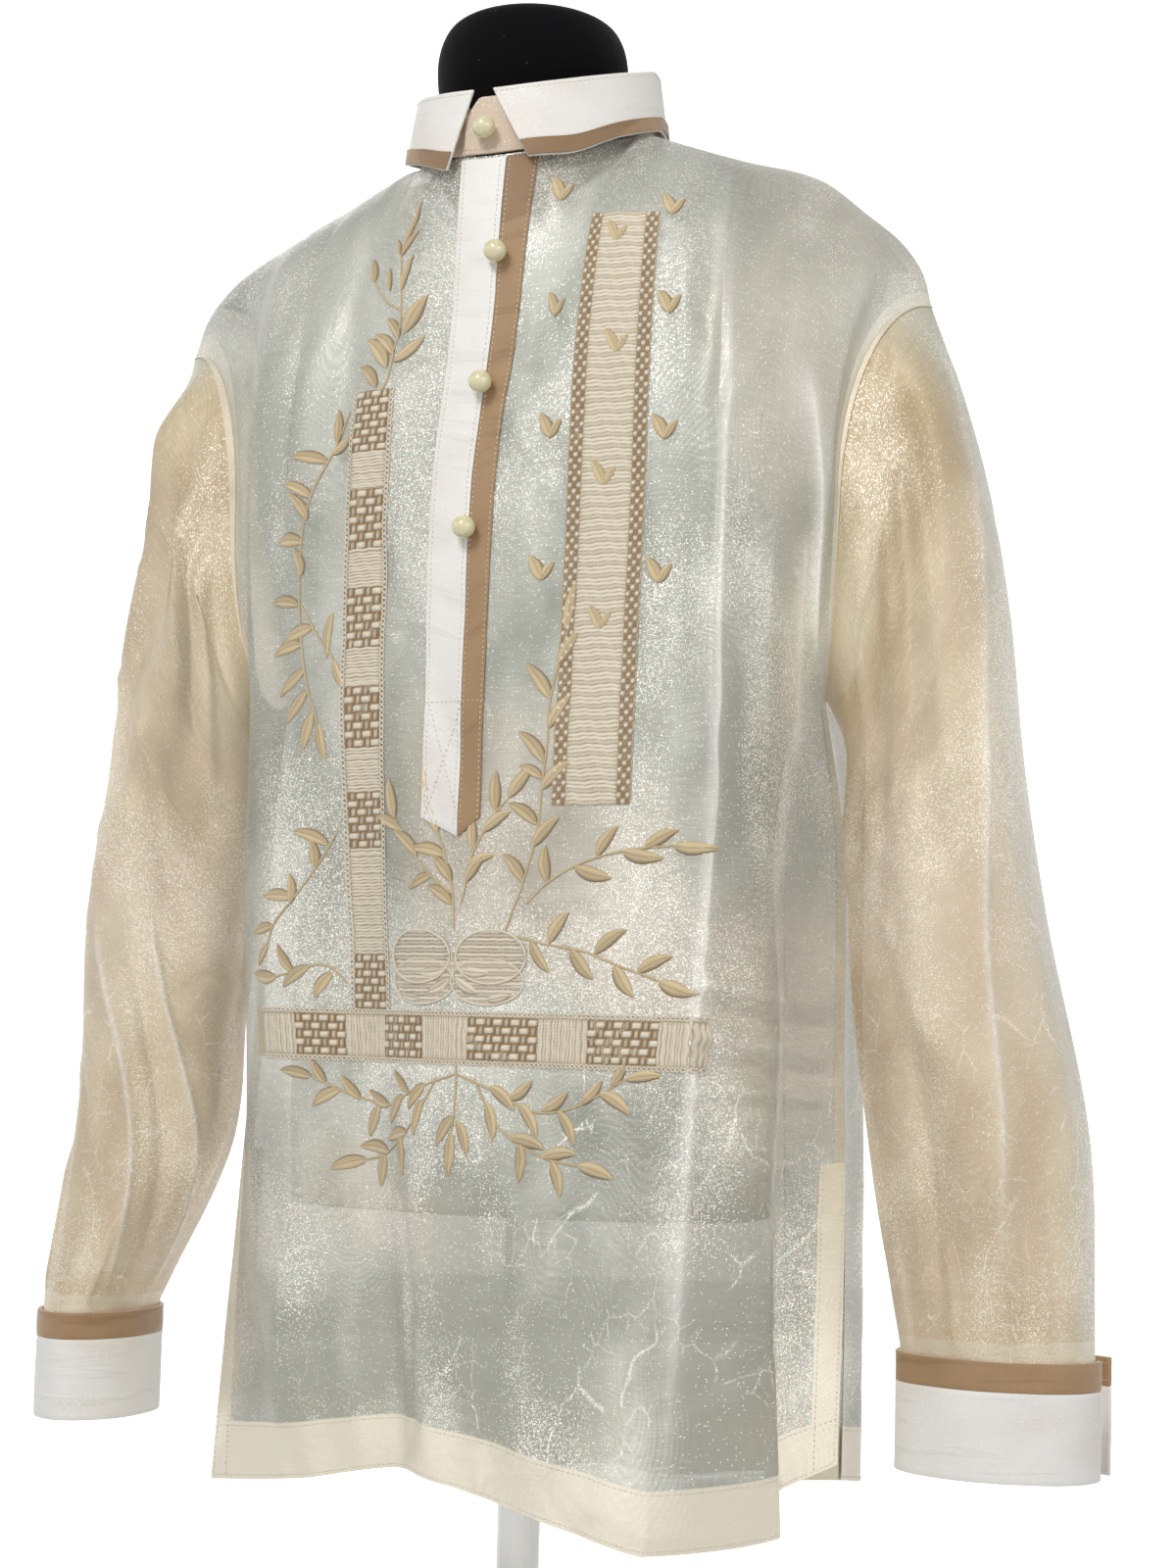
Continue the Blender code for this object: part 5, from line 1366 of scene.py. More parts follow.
def crush(rng, count, middle, scatter, way, length, width, rise):
    """Small crushed creases scattered round a place."""
    table = []
    for _ in range(count):
        a = middle[0] + rng.normal() * scatter[0]
        b = middle[1] + rng.normal() * scatter[1]
        angle = math.radians(way[0] + rng.normal() * way[1])
        half = (length[0] + rng.normal() * length[1]) / 2
        half = max(half, 8.0)
        across = math.cos(angle) * half
        up = math.sin(angle) * half
        height = rise * rng.uniform(0.4, 1.0) * rng.choice([-1.0, 1.0])
        table.append((a - across, b - up, a + across, b + up, width, height))
    return table


# ---- cloth of the panels
class Drape:
    """A panel with its creases, read at any u and v."""

    def __init__(self, panel, table, folds):
        self.panel = panel
        self.table = table
        self.folds = folds

    def flat(self, u):
        """Place across the panel in mm, at the height of the bands."""
        return self.panel.section(u, np.full(len(u), BAND_REFERENCE_Z))[:, 0] / MM

    def surface(self, u, v):
        """Points and normals on grids of u and v."""
        shape = u.shape
        u = u.ravel()
        v = v.ravel()
        panel = self.panel
        normal = panel.normals(u, v)
        points = panel.base(u, v)
        edge = smooth(u / 0.05) * smooth((1 - u) / 0.05) * smooth((2 - v) / 0.12)
        s = self.flat(u)
        z = points[:, 2] / MM
        raised = (creases(s, z, self.table) + ridges(s, z, self.folds)) * MM * edge
        points = points + normal * (panel.rise(u, v) + raised)[:, None]
        points = points.reshape(*shape, 3)
        normals = grid_normals(points)
        return points, normals

    def sew(self, stitches, u, v, out=0.0):
        """Stitches along a line of the panel, standing out from it by out."""
        points, _ = self.surface(np.stack([u, u + 0.001]), np.stack([v, v]))
        normals = self.panel.normals(u, v)
        stitches.line(points[0] + normals * out, normals)

    def patch(self, u_span, v_low, v_high, columns, rows):
        """Grids of u and v between two lines across the panel, given at each column."""
        u = np.linspace(*u_span, columns)
        part = np.linspace(0, 1, rows)[:, None]
        low = np.broadcast_to(v_low, columns)[None]
        high = np.broadcast_to(v_high, columns)[None]
        return np.broadcast_to(u, (rows, columns)).copy(), low + (high - low) * part


class Chart:
    """The finished front read at places s across and z up it, in millimetres."""

    COLUMNS = 300
    ROWS = 420
    LOWEST = 100.0
    HIGHEST = 900.0
    PITCH = 2.0

    def __init__(self, drape):
        u, v = np.meshgrid(np.linspace(0.01, 0.99, self.COLUMNS), np.linspace(0, 2, self.ROWS))
        self.points, self.normals = drape.surface(u, v)
        self.s = drape.flat(u[0])
        self.heights = np.arange(self.LOWEST, self.HIGHEST, self.PITCH)
        z = np.maximum.accumulate(self.points[..., 2] / MM, axis=0)
        rows = np.arange(self.ROWS)
        self.row_at = np.array([np.interp(self.heights, z[:, k], rows)
                                for k in range(self.COLUMNS)])

    def read(self, s, z, out):
        """Points at s and z, standing out from the cloth by out, all in mm."""
        column = np.interp(s, self.s, np.arange(self.COLUMNS))
        height = np.clip((z - self.LOWEST) / self.PITCH, 0, len(self.heights) - 1.001)
        left = np.minimum(column.astype(int), self.COLUMNS - 2)
        low = height.astype(int)
        a = column - left
        b = height - low
        row = ((self.row_at[left, low] * (1 - b) + self.row_at[left, low + 1] * b) * (1 - a)
               + (self.row_at[left + 1, low] * (1 - b) + self.row_at[left + 1, low + 1] * b) * a)
        under = np.clip(row.astype(int), 0, self.ROWS - 2)
        c = row - under
        shares = [((1 - a) * (1 - c), left, under), (a * (1 - c), left + 1, under),
                  ((1 - a) * c, left, under + 1), (a * c, left + 1, under + 1)]
        place = sum(w[:, None] * self.points[r, k] for w, k, r in shares)
        away = sum(w[:, None] * self.normals[r, k] for w, k, r in shares)
        return place + away * (out * MM)[:, None]


# ---- needlework
class Needlework:
    """Raised thread work gathered on the front before it becomes one mesh."""

    def __init__(self, chart, lift):
        self.chart = chart
        self.lift = lift
        self.places = []
        self.faces = []
        self.tones = []
        self.threads = []
        self.count = 0

    def add(self, s, z, out, tone, thread):
        """A patch from grids of places, heights and tones."""
        rows, columns = s.shape
        out = np.broadcast_to(out, s.shape) + self.lift
        self.places.append(np.stack([s.ravel(), z.ravel(), out.ravel()], axis=1))
        self.faces.append(grid_faces(rows, columns, self.count))
        self.tones.append(np.broadcast_to(tone, s.shape).ravel())
        self.threads.append(thread)
        self.count += s.size

    def pad(self, s, z, width, height, rise, tone=1.0, base=0.15, cells=5, upright=False):
        """Puffed block of threads round a centre, its edges down on the cloth."""
        a, b = np.meshgrid(np.linspace(-1, 1, cells), np.linspace(-1, 1, cells))
        crown = (1 - np.abs(a) ** 3) * (1 - np.abs(b) ** 3)
        # Painted shade: the pad darkens toward its edges, where it meets the cloth
        shade = tone * (0.1 + 0.9 * np.clip(crown * 1.5, 0, 1))
        along = (a * width if upright else b * height) * 0.5 * MM
        thread = np.stack([along, (b if upright else a) * MM, a * 0], axis=-1).reshape(-1, 3)
        self.add(s + a * width / 2, z + b * height / 2, base + rise * np.sqrt(crown), shade,
                 thread)

    def cord(self, places, width, rise, tone=0.9, base=0.05, sides=4):
        """Half-round cord along a line of places."""
        s, z = np.asarray(places, float).T
        way = np.stack([np.gradient(s), np.gradient(z)], axis=1)
        way /= np.maximum(np.linalg.norm(way, axis=1)[:, None], 1e-9)
        angle = np.linspace(0, math.pi, sides + 1)
        length = np.concatenate([[0], np.cumsum(np.hypot(np.diff(s), np.diff(z)))])
        ends = np.minimum(length, length[-1] - length) / max(width, 0.1)
        ends = np.clip(ends, 0, 1)[:, None]
        side = np.cos(angle)[None, :] * width / 2 * (0.4 + 0.6 * ends)
        out = base + np.sin(angle)[None, :] * rise * (0.3 + 0.7 * ends)
        thread = np.stack([np.broadcast_to(length[:, None] * MM, side.shape), side * MM,
                           np.zeros_like(side)], axis=-1)
        # Painted shade: the cord is lit along its crown and darker down its sides
        shade = np.broadcast_to(tone * (0.5 + 0.5 * np.sin(angle))[None, :], side.shape)
        self.add(s[:, None] - way[:, 1:] * side, z[:, None] + way[:, :1] * side, out, shade,
                 thread.reshape(-1, 3))

    def leaf(self, s, z, angle, length, width, bend=0.2, rise=0.9, tone=1.0):
        """Satin leaf from its foot, its two halves worked apart along the vein."""
        t, b = np.meshgrid(np.linspace(0, 1, 13), np.linspace(-1, 1, 9), indexing="ij")
        turn = np.radians(angle) + bend * (t - 0.5) * 2
        middle = (turn[1:, 0] + turn[:-1, 0]) / 2
        spine_s = np.concatenate([[0], np.cumsum(np.cos(middle))]) * length / 12
        spine_z = np.concatenate([[0], np.cumsum(np.sin(middle))]) * length / 12
        half = width / 2 * np.sin(math.pi * t ** 0.85) ** 0.8 + 0.15
        side = b * half
        leaf_s = s + spine_s[:, None] - np.sin(turn) * side
        leaf_z = z + spine_z[:, None] + np.cos(turn) * side
        vein = np.exp(-(b / 0.16) ** 2)
        crown = np.sqrt(np.clip(1 - b * b, 0, 1)) * (1 - 0.5 * vein)
        ends = np.clip(np.minimum(t, 1 - t) / 0.12, 0, 1)
        out = 0.08 + rise * crown * (0.15 + 0.85 * ends)
        # Painted light and shade: lit along the crown, dark at the edges, one half lighter than
        # the other
        shade = tone * np.clip(0.22 + 0.72 * crown + 0.3 * b, 0.0, 1)
        thread = np.stack([(t * length + np.abs(b) * half * 0.6) * MM, side * MM, 0 * t], axis=-1)
        self.add(leaf_s, leaf_z, out, shade, thread.reshape(-1, 3))

    def build(self, name, look):
        places = np.concatenate(self.places)
        points = self.chart.read(places[:, 0], places[:, 1], places[:, 2])
        return add_mesh(name, points, np.concatenate(self.faces), look, 60,
                        tone=np.concatenate(self.tones), thread=np.concatenate(self.threads))


class Stitching:
    """Rows of machine stitches gathered into one mesh."""

    def __init__(self):
        self.points = []
        self.faces = []

    def line(self, points, normals, pitch=2.9 * MM, length=2.0 * MM, size=0.34 * MM):
        """Stitches along a line that lies on a surface with these normals."""
        travel = travelled(points)
        where = np.arange(pitch / 2, travel[-1], pitch)
        middle = np.stack([np.interp(where, travel, points[:, k]) for k in range(3)], axis=1)
        ahead = np.stack([np.interp(where + pitch / 4, travel, points[:, k]) for k in range(3)],
                         axis=1)
        out = np.stack([np.interp(where, travel, normals[:, k]) for k in range(3)], axis=1)
        way = ahead - middle
        norm = np.linalg.norm(way, axis=1, keepdims=True)
        kept = norm[:, 0] > 1e-7
        middle, way, out = middle[kept], (way / np.maximum(norm, 1e-9))[kept], out[kept]
        side = np.cross(way, out)
        middle = middle + out * size * 0.3
        corners = [middle - way * length / 2, middle + side * size, middle + out * size,
                   middle - side * size, middle - out * size, middle + way * length / 2]
        start = sum(len(p) for p in self.points)
        count = len(middle)
        first = start + np.arange(count) * 6
        for k in range(4):
            a = first + 1 + k
            b = first + 1 + (k + 1) % 4
            self.faces.append(np.stack([first, b, a], axis=1))
            self.faces.append(np.stack([first + 5, a, b], axis=1))
        self.points.append(np.stack(corners, axis=1).reshape(-1, 3))

    def build(self, name, look):
        points = np.concatenate(self.points)
        spot = points - points.mean(axis=0)
        return add_mesh(name, points, np.concatenate(self.faces), look,
                        tone=np.ones(len(points)), thread=spot)


# ---- front and back
def front_glint_density(s, z):
    """How much the painted crease glints show over the front."""
    low = smooth((470 - z) / 160) * smooth((s + 60) / 120)
    return 0.18 + 0.82 * low


def back_glint_density(_, z):
    return 0.25 + 0.5 * smooth((480 - z) / 200)


def panel_sheet(name, drape, look, columns, crinkle):
    u = np.unique(np.concatenate([np.linspace(0, 1, columns), drape.panel.keys]))
    v = np.concatenate([np.linspace(0, 1, ROWS_LOW)[:-1], np.linspace(1, 2, ROWS_HIGH)])
    u, v = np.meshgrid(u, v)
    points, _ = drape.surface(u, v)
    s = np.broadcast_to(drape.flat(u[0]), u.shape)
    z = points[..., 2] / MM
    # Mask of the painted highlight along the pressed folds
    pressed = ridges(s, z, drape.folds, pressed=True)
    return cloth_sheet(name, points, look, (u, v), crinkle(s, z), pressed)


def inner_layer(name, drape, look, u_span, v_span, out, columns, rows):
    """Second layer of cloth behind a panel: a hem, facing or seam allowance."""
    u, v = drape.patch(u_span, v_span[0], v_span[1], columns, rows)
    points, normals = drape.surface(u, v)
    return cloth_sheet(name, points + normals * out, look, (u, v), 0.3)


def make_layers(drape, label, look, seam_look, stitches):
    """Hem band, vent facings and seam allowances of a front or back panel."""
    made = [inner_layer("hem_" + label + FINE, drape, look, (FACING_U, 1 - FACING_U), (0, HEM_V),
                        UNDER_HEM, 200, 10)]
    sides = ("right", "left") if label == "front" else ("left", "right")
    for side, span in zip(sides, ((0, FACING_U), (1 - FACING_U, 1))):
        made.append(inner_layer(f"vent_facing_{label}_{side}{FINE}", drape, look, span,
                                (0, VENT_V), UNDER_HEM, 8, 70))
    low, high = SEAM_SPAN_U
    for side, span in zip(sides, ((low, high), (1 - high, 1 - low))):
        made.append(inner_layer(f"seam_allowance_{label}_{side}", drape, seam_look, span,
                                (VENT_V, ARMPIT_V - 0.01), UNDER_SEAM, 4, 80))
    for v in (HEM_V - STITCH_INSET, STITCH_INSET):
        drape.sew(stitches, np.linspace(STITCH_INSET, 1 - STITCH_INSET, 300), np.full(300, v))
    for u in (STITCH_INSET, FACING_U - STITCH_INSET, 1 - FACING_U + STITCH_INSET,
              1 - STITCH_INSET):
        drape.sew(stitches, np.full(120, u), np.linspace(STITCH_INSET, VENT_V, 120))
    return made


# ---- front opening and bands
def front_lines(panel):
    """Columns of the narrow band, the placket and the wide band."""
    edges = [*NARROW_BAND_X, PLACKET_LEFT_X, PLACKET_JOIN_X, PLACKET_RIGHT_X, *WIDE_BAND_X]
    return [panel.u_at(x, BAND_REFERENCE_Z) for x in edges]


def make_placket(drape, looks, stitches):
    """White under panel and brown overlap, pointed at the foot, with their stitching."""
    panel = drape.panel
    left, join, right = front_lines(panel)[2:5]
    low_v = panel.v_at(join, PLACKET_LOW_Z)
    point_v = PLACKET_POINT / (CHEST_Z - HEM_Z)
    spans = {
        "placket_panel": ((left, join - 0.0006), (0.0, point_v), looks["white"], WHITE_OUT),
        "placket_band": ((join, right), (point_v, 0.0), looks["brown"], BROWN_OUT),
    }
    made = {}
    for name, (span, drop, look, out) in spans.items():
        lower = low_v - np.linspace(*drop, 11)
        u, v = drape.patch(span, lower, PLACKET_TOP_V, 11, 170)
        points, normals = drape.surface(u, v)
        made[name] = cloth_wall(name + FINE, points, normals, *out, look)
        inset = (span[1] - span[0]) * 0.1
        rows = np.linspace(low_v - point_v * 0.4, PLACKET_TOP_V - STITCH_INSET, 240)
        for u_line in (span[0] + inset, span[1] - inset):
            drape.sew(stitches, np.full(240, u_line), rows, out[1])
    box_v = panel.v_at(join, BOX_STITCH_Z)
    inner = left + STITCH_INSET
    for u0, v0, u1, v1 in ((left, box_v, right, box_v), (inner, box_v, join, low_v),
                           (join, box_v, inner, low_v)):
        drape.sew(stitches, np.linspace(u0, u1, 60), np.linspace(v0, v1, 60), BROWN_OUT[1])
    return made


def woven_block(work, s0, s1, z0, z1, columns, rows, rng):
    """Basket weave: raised pads lie over and under lower ones painted darker as shade, with holes
    between, where a dark backing is painted as their shade.
    """
    width = (s1 - s0) / columns
    height = (z1 - z0) / rows
    s, z = np.meshgrid(np.linspace(s0, s1, 6), np.linspace(z0, z1, 6))
    # Painted shade: a dark backing that shows in the holes between the pads
    work.add(s, z, 0.12, 0.0, np.stack([s * MM, z * MM, s * 0], axis=-1).reshape(-1, 3))
    for column in range(columns):
        for row in range(rows):
            s = s0 + (column + 0.5) * width
            z = z0 + (row + 0.5) * height
            if (column + row) % 2:
                work.pad(s, z, width * 1.2, height * 0.84, 1.1, rng.uniform(0.92, 1.0))
            else:
                # Painted shade: the lower pads are darker
                work.pad(s + rng.normal() * 0.2, z, width * 0.5, height * 1.1, 0.5,
                         rng.uniform(0.4, 0.75), 0.15, 4, True)


def picot(work, places, size, way):
    """Scalloped edge of small loops along a line of places."""
    for s, z in places:
        turn = np.linspace(0, 2 * math.pi, 7)
        loop = np.stack([s + way[0] * size * 0.3 + size * 0.5 * np.cos(turn),
                         z + way[1] * size * 0.3 + size * 0.5 * np.sin(turn)], axis=1)
        work.cord(loop, 1.0, 0.6, 1.0, sides=3)


def ribs(work, start, stop, low, high, pitch, upright, rng):
    """Chain-stitched ribs in close pairs across a band."""
    count = max(2, round(abs(stop - start) / pitch))
    for step in range(count):
        level = start + (stop - start) * (step + 0.5) / count
        along = np.linspace(low, high, 12)
        wave = 0.25 * np.sin(along * 0.7 + step * 0.9) + 0.2 * rng.normal()
        places = np.stack([level + wave, along] if upright else [along, level + wave], axis=1)
        tone = 1.0 if step % 2 else 0.86
        work.cord(places, pitch * 0.96, 0.55 if step % 2 else 0.42, tone, sides=3)


def make_narrow_band(work, rng):
    s0, s1 = NARROW_S
    left = s0 + BLOCK_INSET
    right = s1 - BLOCK_INSET
    for kind, high, low in NARROW_BLOCKS:
        if kind == "woven":
            woven_block(work, left, right, low, high, 4, round((high - low) / 4.4), rng)
        else:
            ribs(work, low, high, left, right, RIB_PITCH, False, rng)
    levels = np.arange(NARROW_BLOCKS[-1][2] + 1.5, NARROW_BLOCKS[0][1], 2.9)
    for s, way in ((s0 + 0.6, -1), (s1 - 0.6, 1)):
        picot(work, [(s, z) for z in levels], 2.6, (way, 0))


def make_cross_band(work, rng):
    z0, z1 = CROSS_Z
    low = z0 + BLOCK_INSET
    high = z1 - BLOCK_INSET
    for kind, left, right in CROSS_BLOCKS:
        if kind == "woven":
            woven_block(work, left, right, low, high, round((right - left) / 5.0), 5, rng)
        else:
            ribs(work, left, right, low, high, RIB_PITCH, True, rng)
    steps = np.arange(CROSS_BLOCKS[0][1] + 1, CROSS_BLOCKS[-1][2], 2.7)
    for z, way in ((z0 + 0.4, -1), (z1 - 0.4, 1)):
        picot(work, [(s, z) for s in steps], 2.2, (0, way))


def make_wide_band(work, rng):
    s0, s1 = WIDE_S
    z0, z1 = WIDE_Z
    edge = WIDE_EDGE
    count = round((z1 - z0) / 2.1)
    for step in range(count):
        z = z0 + (z1 - z0) * (step + 0.5) / count
        along = np.linspace(s0 + edge, s1 - edge, 18)
        wave = 0.35 * np.sin(along * 0.33 + z * 0.11) + 0.2 * np.sin(along * 0.9 + step)
        tone = 1.0 if step % 3 else 0.72
        work.cord(np.stack([along, z + wave], axis=1), 2.05, 0.42, tone, sides=3)
    rows = round((z1 - z0) / 3.3)
    for step in range(rows):
        z = z0 + (z1 - z0) * (step + 0.5) / rows
        for left in (s0, s1 - edge):
            for column in range(3):
                s = left + (column + 0.5) * edge / 3
                if (step + column) % 2:
                    work.pad(s, z, edge / 3 * 1.15, 2.9, 0.8, rng.uniform(0.85, 1.0), cells=4)
                else:
                    # Painted shade: the low pads between are dark
                    work.pad(s, z, edge / 3 * 0.8, 3.0, 0.1, rng.uniform(0.1, 0.35), 0.1, 3)


def make_sprays(work, rng):
    for stem in STEMS:
        knots = np.arange(len(stem))
        where = np.linspace(0, len(stem) - 1, 10 * len(stem))
        places = spline(knots, np.array(stem, float), where)
        work.cord(places, 1.3, 0.6, 0.78)
    for s, z, angle, length, width, bend in LEAVES:
        tone = rng.uniform(0.8, 1.0)
        work.leaf(s, z, angle + rng.normal() * 4, length, width, bend, 1.0, tone)
    for s, z, size in PAIRS:
        work.leaf(s, z, 118, 15.5 * size, 7.2 * size, 0.25, 1.0, 1.0)
        work.leaf(s + 0.5, z, 58, 12.0 * size, 5.0 * size, -0.3, 0.9, 0.9)
        work.leaf(s - 0.2, z - 0.4, 84, 6.5 * size, 3.2 * size, 0.0, 0.8, 0.85)


def make_bow(work, rng):
    """Bow of two ribbed loops over two tails, with leaves and a knot between."""
    for loops, lift in ((BOW_TAILS, 0.0), (BOW_LOOPS, 0.35)):
        for s, z, half, tall in loops:
            turn = np.linspace(0, 2 * math.pi, 41)
            rim = np.stack([s + half * np.cos(turn), z + tall * np.sin(turn)], axis=1)
            count = int(2 * tall / 1.9)
            for step in range(count):
                level = -tall + 2 * tall * (step + 0.5) / count
                reach = half * math.sqrt(max(0.0, 1 - (level / tall) ** 2))
                if reach < 2:
                    continue
                along = np.linspace(s - reach, s + reach, 10)
                height = z + level + 0.2 * np.sin(along * 0.8 + step)
                places = np.stack([along, height], axis=1)
                work.cord(places, 1.7, 0.4, 0.95 if step % 2 else 0.62, 0.05 + lift, sides=3)
            work.cord(rim, 1.5, 0.8, 0.9, 0.05 + lift)
    knot_s, knot_z = BOW_KNOT
    for angle in range(0, 360, 45):
        way = math.radians(angle)
        work.leaf(knot_s + math.cos(way), knot_z + math.sin(way), angle, 4.5, 2.4, 0.1, 0.8,
                  rng.uniform(0.75, 1.0))
    work.pad(knot_s, knot_z, 3.2, 3.2, 1.2)
    for side in (-1, 1):
        work.leaf(knot_s + side * 6, knot_z - 3, 90 - side * 94, 17, 6.0, side * 0.2, 1.4, 1.0)
        work.leaf(knot_s + side * 2, knot_z - 7, 90 - side * 118, 17, 6.0, side * 0.3, 1.4, 0.95)
        work.leaf(knot_s + side * 22, knot_z - 18, 90 - side * 80, 14, 5.0, side * 0.2, 1.3, 0.9)


def band_ground(name, drape, look, u_span, v_low, v_high, columns, rows):
    """Close-worked ground cloth of a band, just clear of the front."""
    u, v = drape.patch(u_span, v_low, v_high, columns, rows)
    points, normals = drape.surface(u, v)
    places = cloth_places(points)
    return add_mesh(name, (points + normals * GROUND_OUT).reshape(-1, 3),
                    grid_faces(rows, columns), look, tone=np.full(rows * columns, 0.55),
                    thread=places[:, [1, 0, 2]])


def make_bands(drape, chart, looks, rng):
    """The three embroidered bands, each a worked ground with its raised threads."""
    panel = drape.panel
    lines = front_lines(panel)
    narrow = (lines[0] + 0.002, lines[1] - 0.002)
    wide = (lines[5] + 0.001, lines[6] - 0.001)
    cross = [panel.u_at(x, CROSS_BAND_Z[0]) for x in CROSS_BAND_X]
    spans = [
        ("band_narrow", narrow, NARROW_BLOCKS[-1][2], NARROW_BLOCKS[0][1], 8, 150,
         make_narrow_band),
        ("band_wide", wide, WIDE_Z[0], WIDE_Z[1], 14, 150, make_wide_band),
        ("band_cross", cross, CROSS_Z[0], CROSS_Z[1], 120, 10, make_cross_band),
    ]
    grounds = []
    works = []
    for name, span, low, high, columns, rows, make in spans:
        u = np.linspace(*span, columns)
        v_low = np.array([panel.v_at(x, low * MM) for x in u])
        v_high = np.array([panel.v_at(x, high * MM) for x in u])
        grounds.append(band_ground(name + "_ground", drape, looks["ground"], span, v_low, v_high,
                                   columns, rows))
        work = Needlework(chart, BAND_LIFT)
        make(work, rng)
        works.append(work.build(name + FINE, looks["thread_pale"]))
    return works, grounds


# ---- sleeves and cuffs
def sleeve_rise(turn, w, side, table):
    """Creases of a sleeve, in metres."""
    around = (turn % 1.0) * SLEEVE_ROUND
    down = w * SLEEVE_LONG
    height = creases(around, down, table) + ridges(around, down, SLEEVE_RIDGES[side], SLEEVE_ROUND)
    return height * MM * smooth(w / 0.05)


def sleeve_surface(sleeve, turn, w, table):
    shape = turn.shape
    flat_turn = turn.ravel()
    flat_w = w.ravel()
    raised = sleeve.rise(flat_turn, flat_w) + sleeve_rise(flat_turn, flat_w, sleeve.side, table)
    points = sleeve.base(flat_turn, flat_w)
    points = points + sleeve.normal(flat_turn, flat_w) * raised[:, None]
    return points.reshape(*shape, 3)


def make_sleeve(sleeve, label, look, rng):
    """Sleeve tube from the armhole to the wrist, its seam on the inner side."""
    table = SLEEVE_CREASES[sleeve.side] + crushes(rng, SLEEVE_CRUSH)
    turns = np.linspace(0.5, 1.5, SLEEVE_COLUMNS)
    levels = np.concatenate([np.linspace(0, SLEEVE_HEAD, 14)[:-1],
                             np.linspace(SLEEVE_HEAD, 1, SLEEVE_ROWS)])
    turn, w = np.meshgrid(turns, levels)
    points = sleeve_surface(sleeve, turn, w, table)
    crinkle = 0.2 + 0.6 * smooth((w - 0.45) / 0.4)
    # Mask of the painted highlight along the pressed folds
    pressed = ridges((turn % 1.0) * SLEEVE_ROUND, w * SLEEVE_LONG, SLEEVE_RIDGES[sleeve.side],
                     SLEEVE_ROUND, True)
    points[-1, :, 2] -= SLEEVE_TUCK
    made = cloth_sheet("sleeve_" + label + FINE, points, look, (turn, w), crinkle, pressed)
    turn, w = np.meshgrid(np.linspace(0.5, 1.5, 121), np.linspace(0.001, 0.018, 5))
    points = sleeve_surface(sleeve, turn, w, table)
    normals = grid_normals(points) * -sleeve.side
    seam = cloth_sheet("armhole_seam_" + label, points + normals * UNDER_SEAM, look,
                       (turn, w), 0.2)
    return made, seam


def make_cuff(sleeve, label, looks, stitches):
    """Brown band and white cuff, open behind the wrist."""
    top = float(sleeve.table[-1, 0]) - CUFF_DROP
    turns = np.linspace(CUFF_START_TURN, CUFF_END_TURN, CUFF_COLUMNS)
    white_top = top - CUFF_BAND_HEIGHT - 0.1 * MM
    parts = [
        ("cuff_band_" + label, looks["brown"], top, top - CUFF_BAND_HEIGHT, 6, 0.25),
        ("cuff_" + label, looks["white"], white_top, white_top - CUFF_HEIGHT, 16, 0.0),
    ]
    made = {}
    for name, look, high, low, rows, lift in parts:
        levels = np.linspace(low, high, rows)
        points = np.array([cuff_ring(sleeve, turns, z, np.full(len(turns), CUFF_OUT))
                           for z in levels])
        if sleeve.side < 0:
            points = points[:, ::-1]
        normals = grid_normals(points)
        ripple = np.sin(turns * 41.0)[None] * np.sin(np.linspace(0.4, 2.9, rows))[:, None]
        if sleeve.side < 0:
            ripple = ripple[:, ::-1]
        points = points + normals * (ripple * CUFF_RIPPLE)[..., None]
        made[name] = cloth_wall(name + FINE, points, normals, -CUFF, lift * MM, look)
        for row in ((1, -2) if rows == 6 else (1,)):
            stitches.line(points[row] + normals[row] * lift * MM, normals[row])
    return made


def make_cuff_button(sleeve, label, look):
    """Flat sewn button with a raised rim, on the cuff's underlap."""
    z = float(sleeve.table[-1, 0]) - CUFF_DROP - CUFF_BAND_HEIGHT - CUFF_HEIGHT / 2
    turn = CUFF_BUTTON_TURN + np.array([-0.01, 0.0, 0.01])
    before, point, after = cuff_ring(sleeve, turn, z, np.full(3, CUFF_OUT))
    tangent = after - before
    away = np.array([tangent[1], -tangent[0], 0.0]) * -sleeve.side
    away /= np.linalg.norm(away)
    r = CUFF_BUTTON_RADIUS
    t = CUFF_BUTTON_THICKNESS
    profile = [(r * 0.6, 0.0), (r * 0.92, 0.05 * t), (r, 0.3 * t), (r, 0.7 * t),
               (r * 0.94, 0.95 * t), (r * 0.86, t), (r * 0.76, 0.86 * t), (r * 0.62, 0.72 * t),
               (r * 0.3, 0.68 * t), (0.02 * r, 0.68 * t)]
    button = turned("cuff_button_" + label + FINE, profile, look)
    button.location = point + away * LAYER_GAP
    button.rotation_euler = (math.pi / 2, 0.0, math.atan2(away[1], away[0]) + math.pi / 2)
    return button


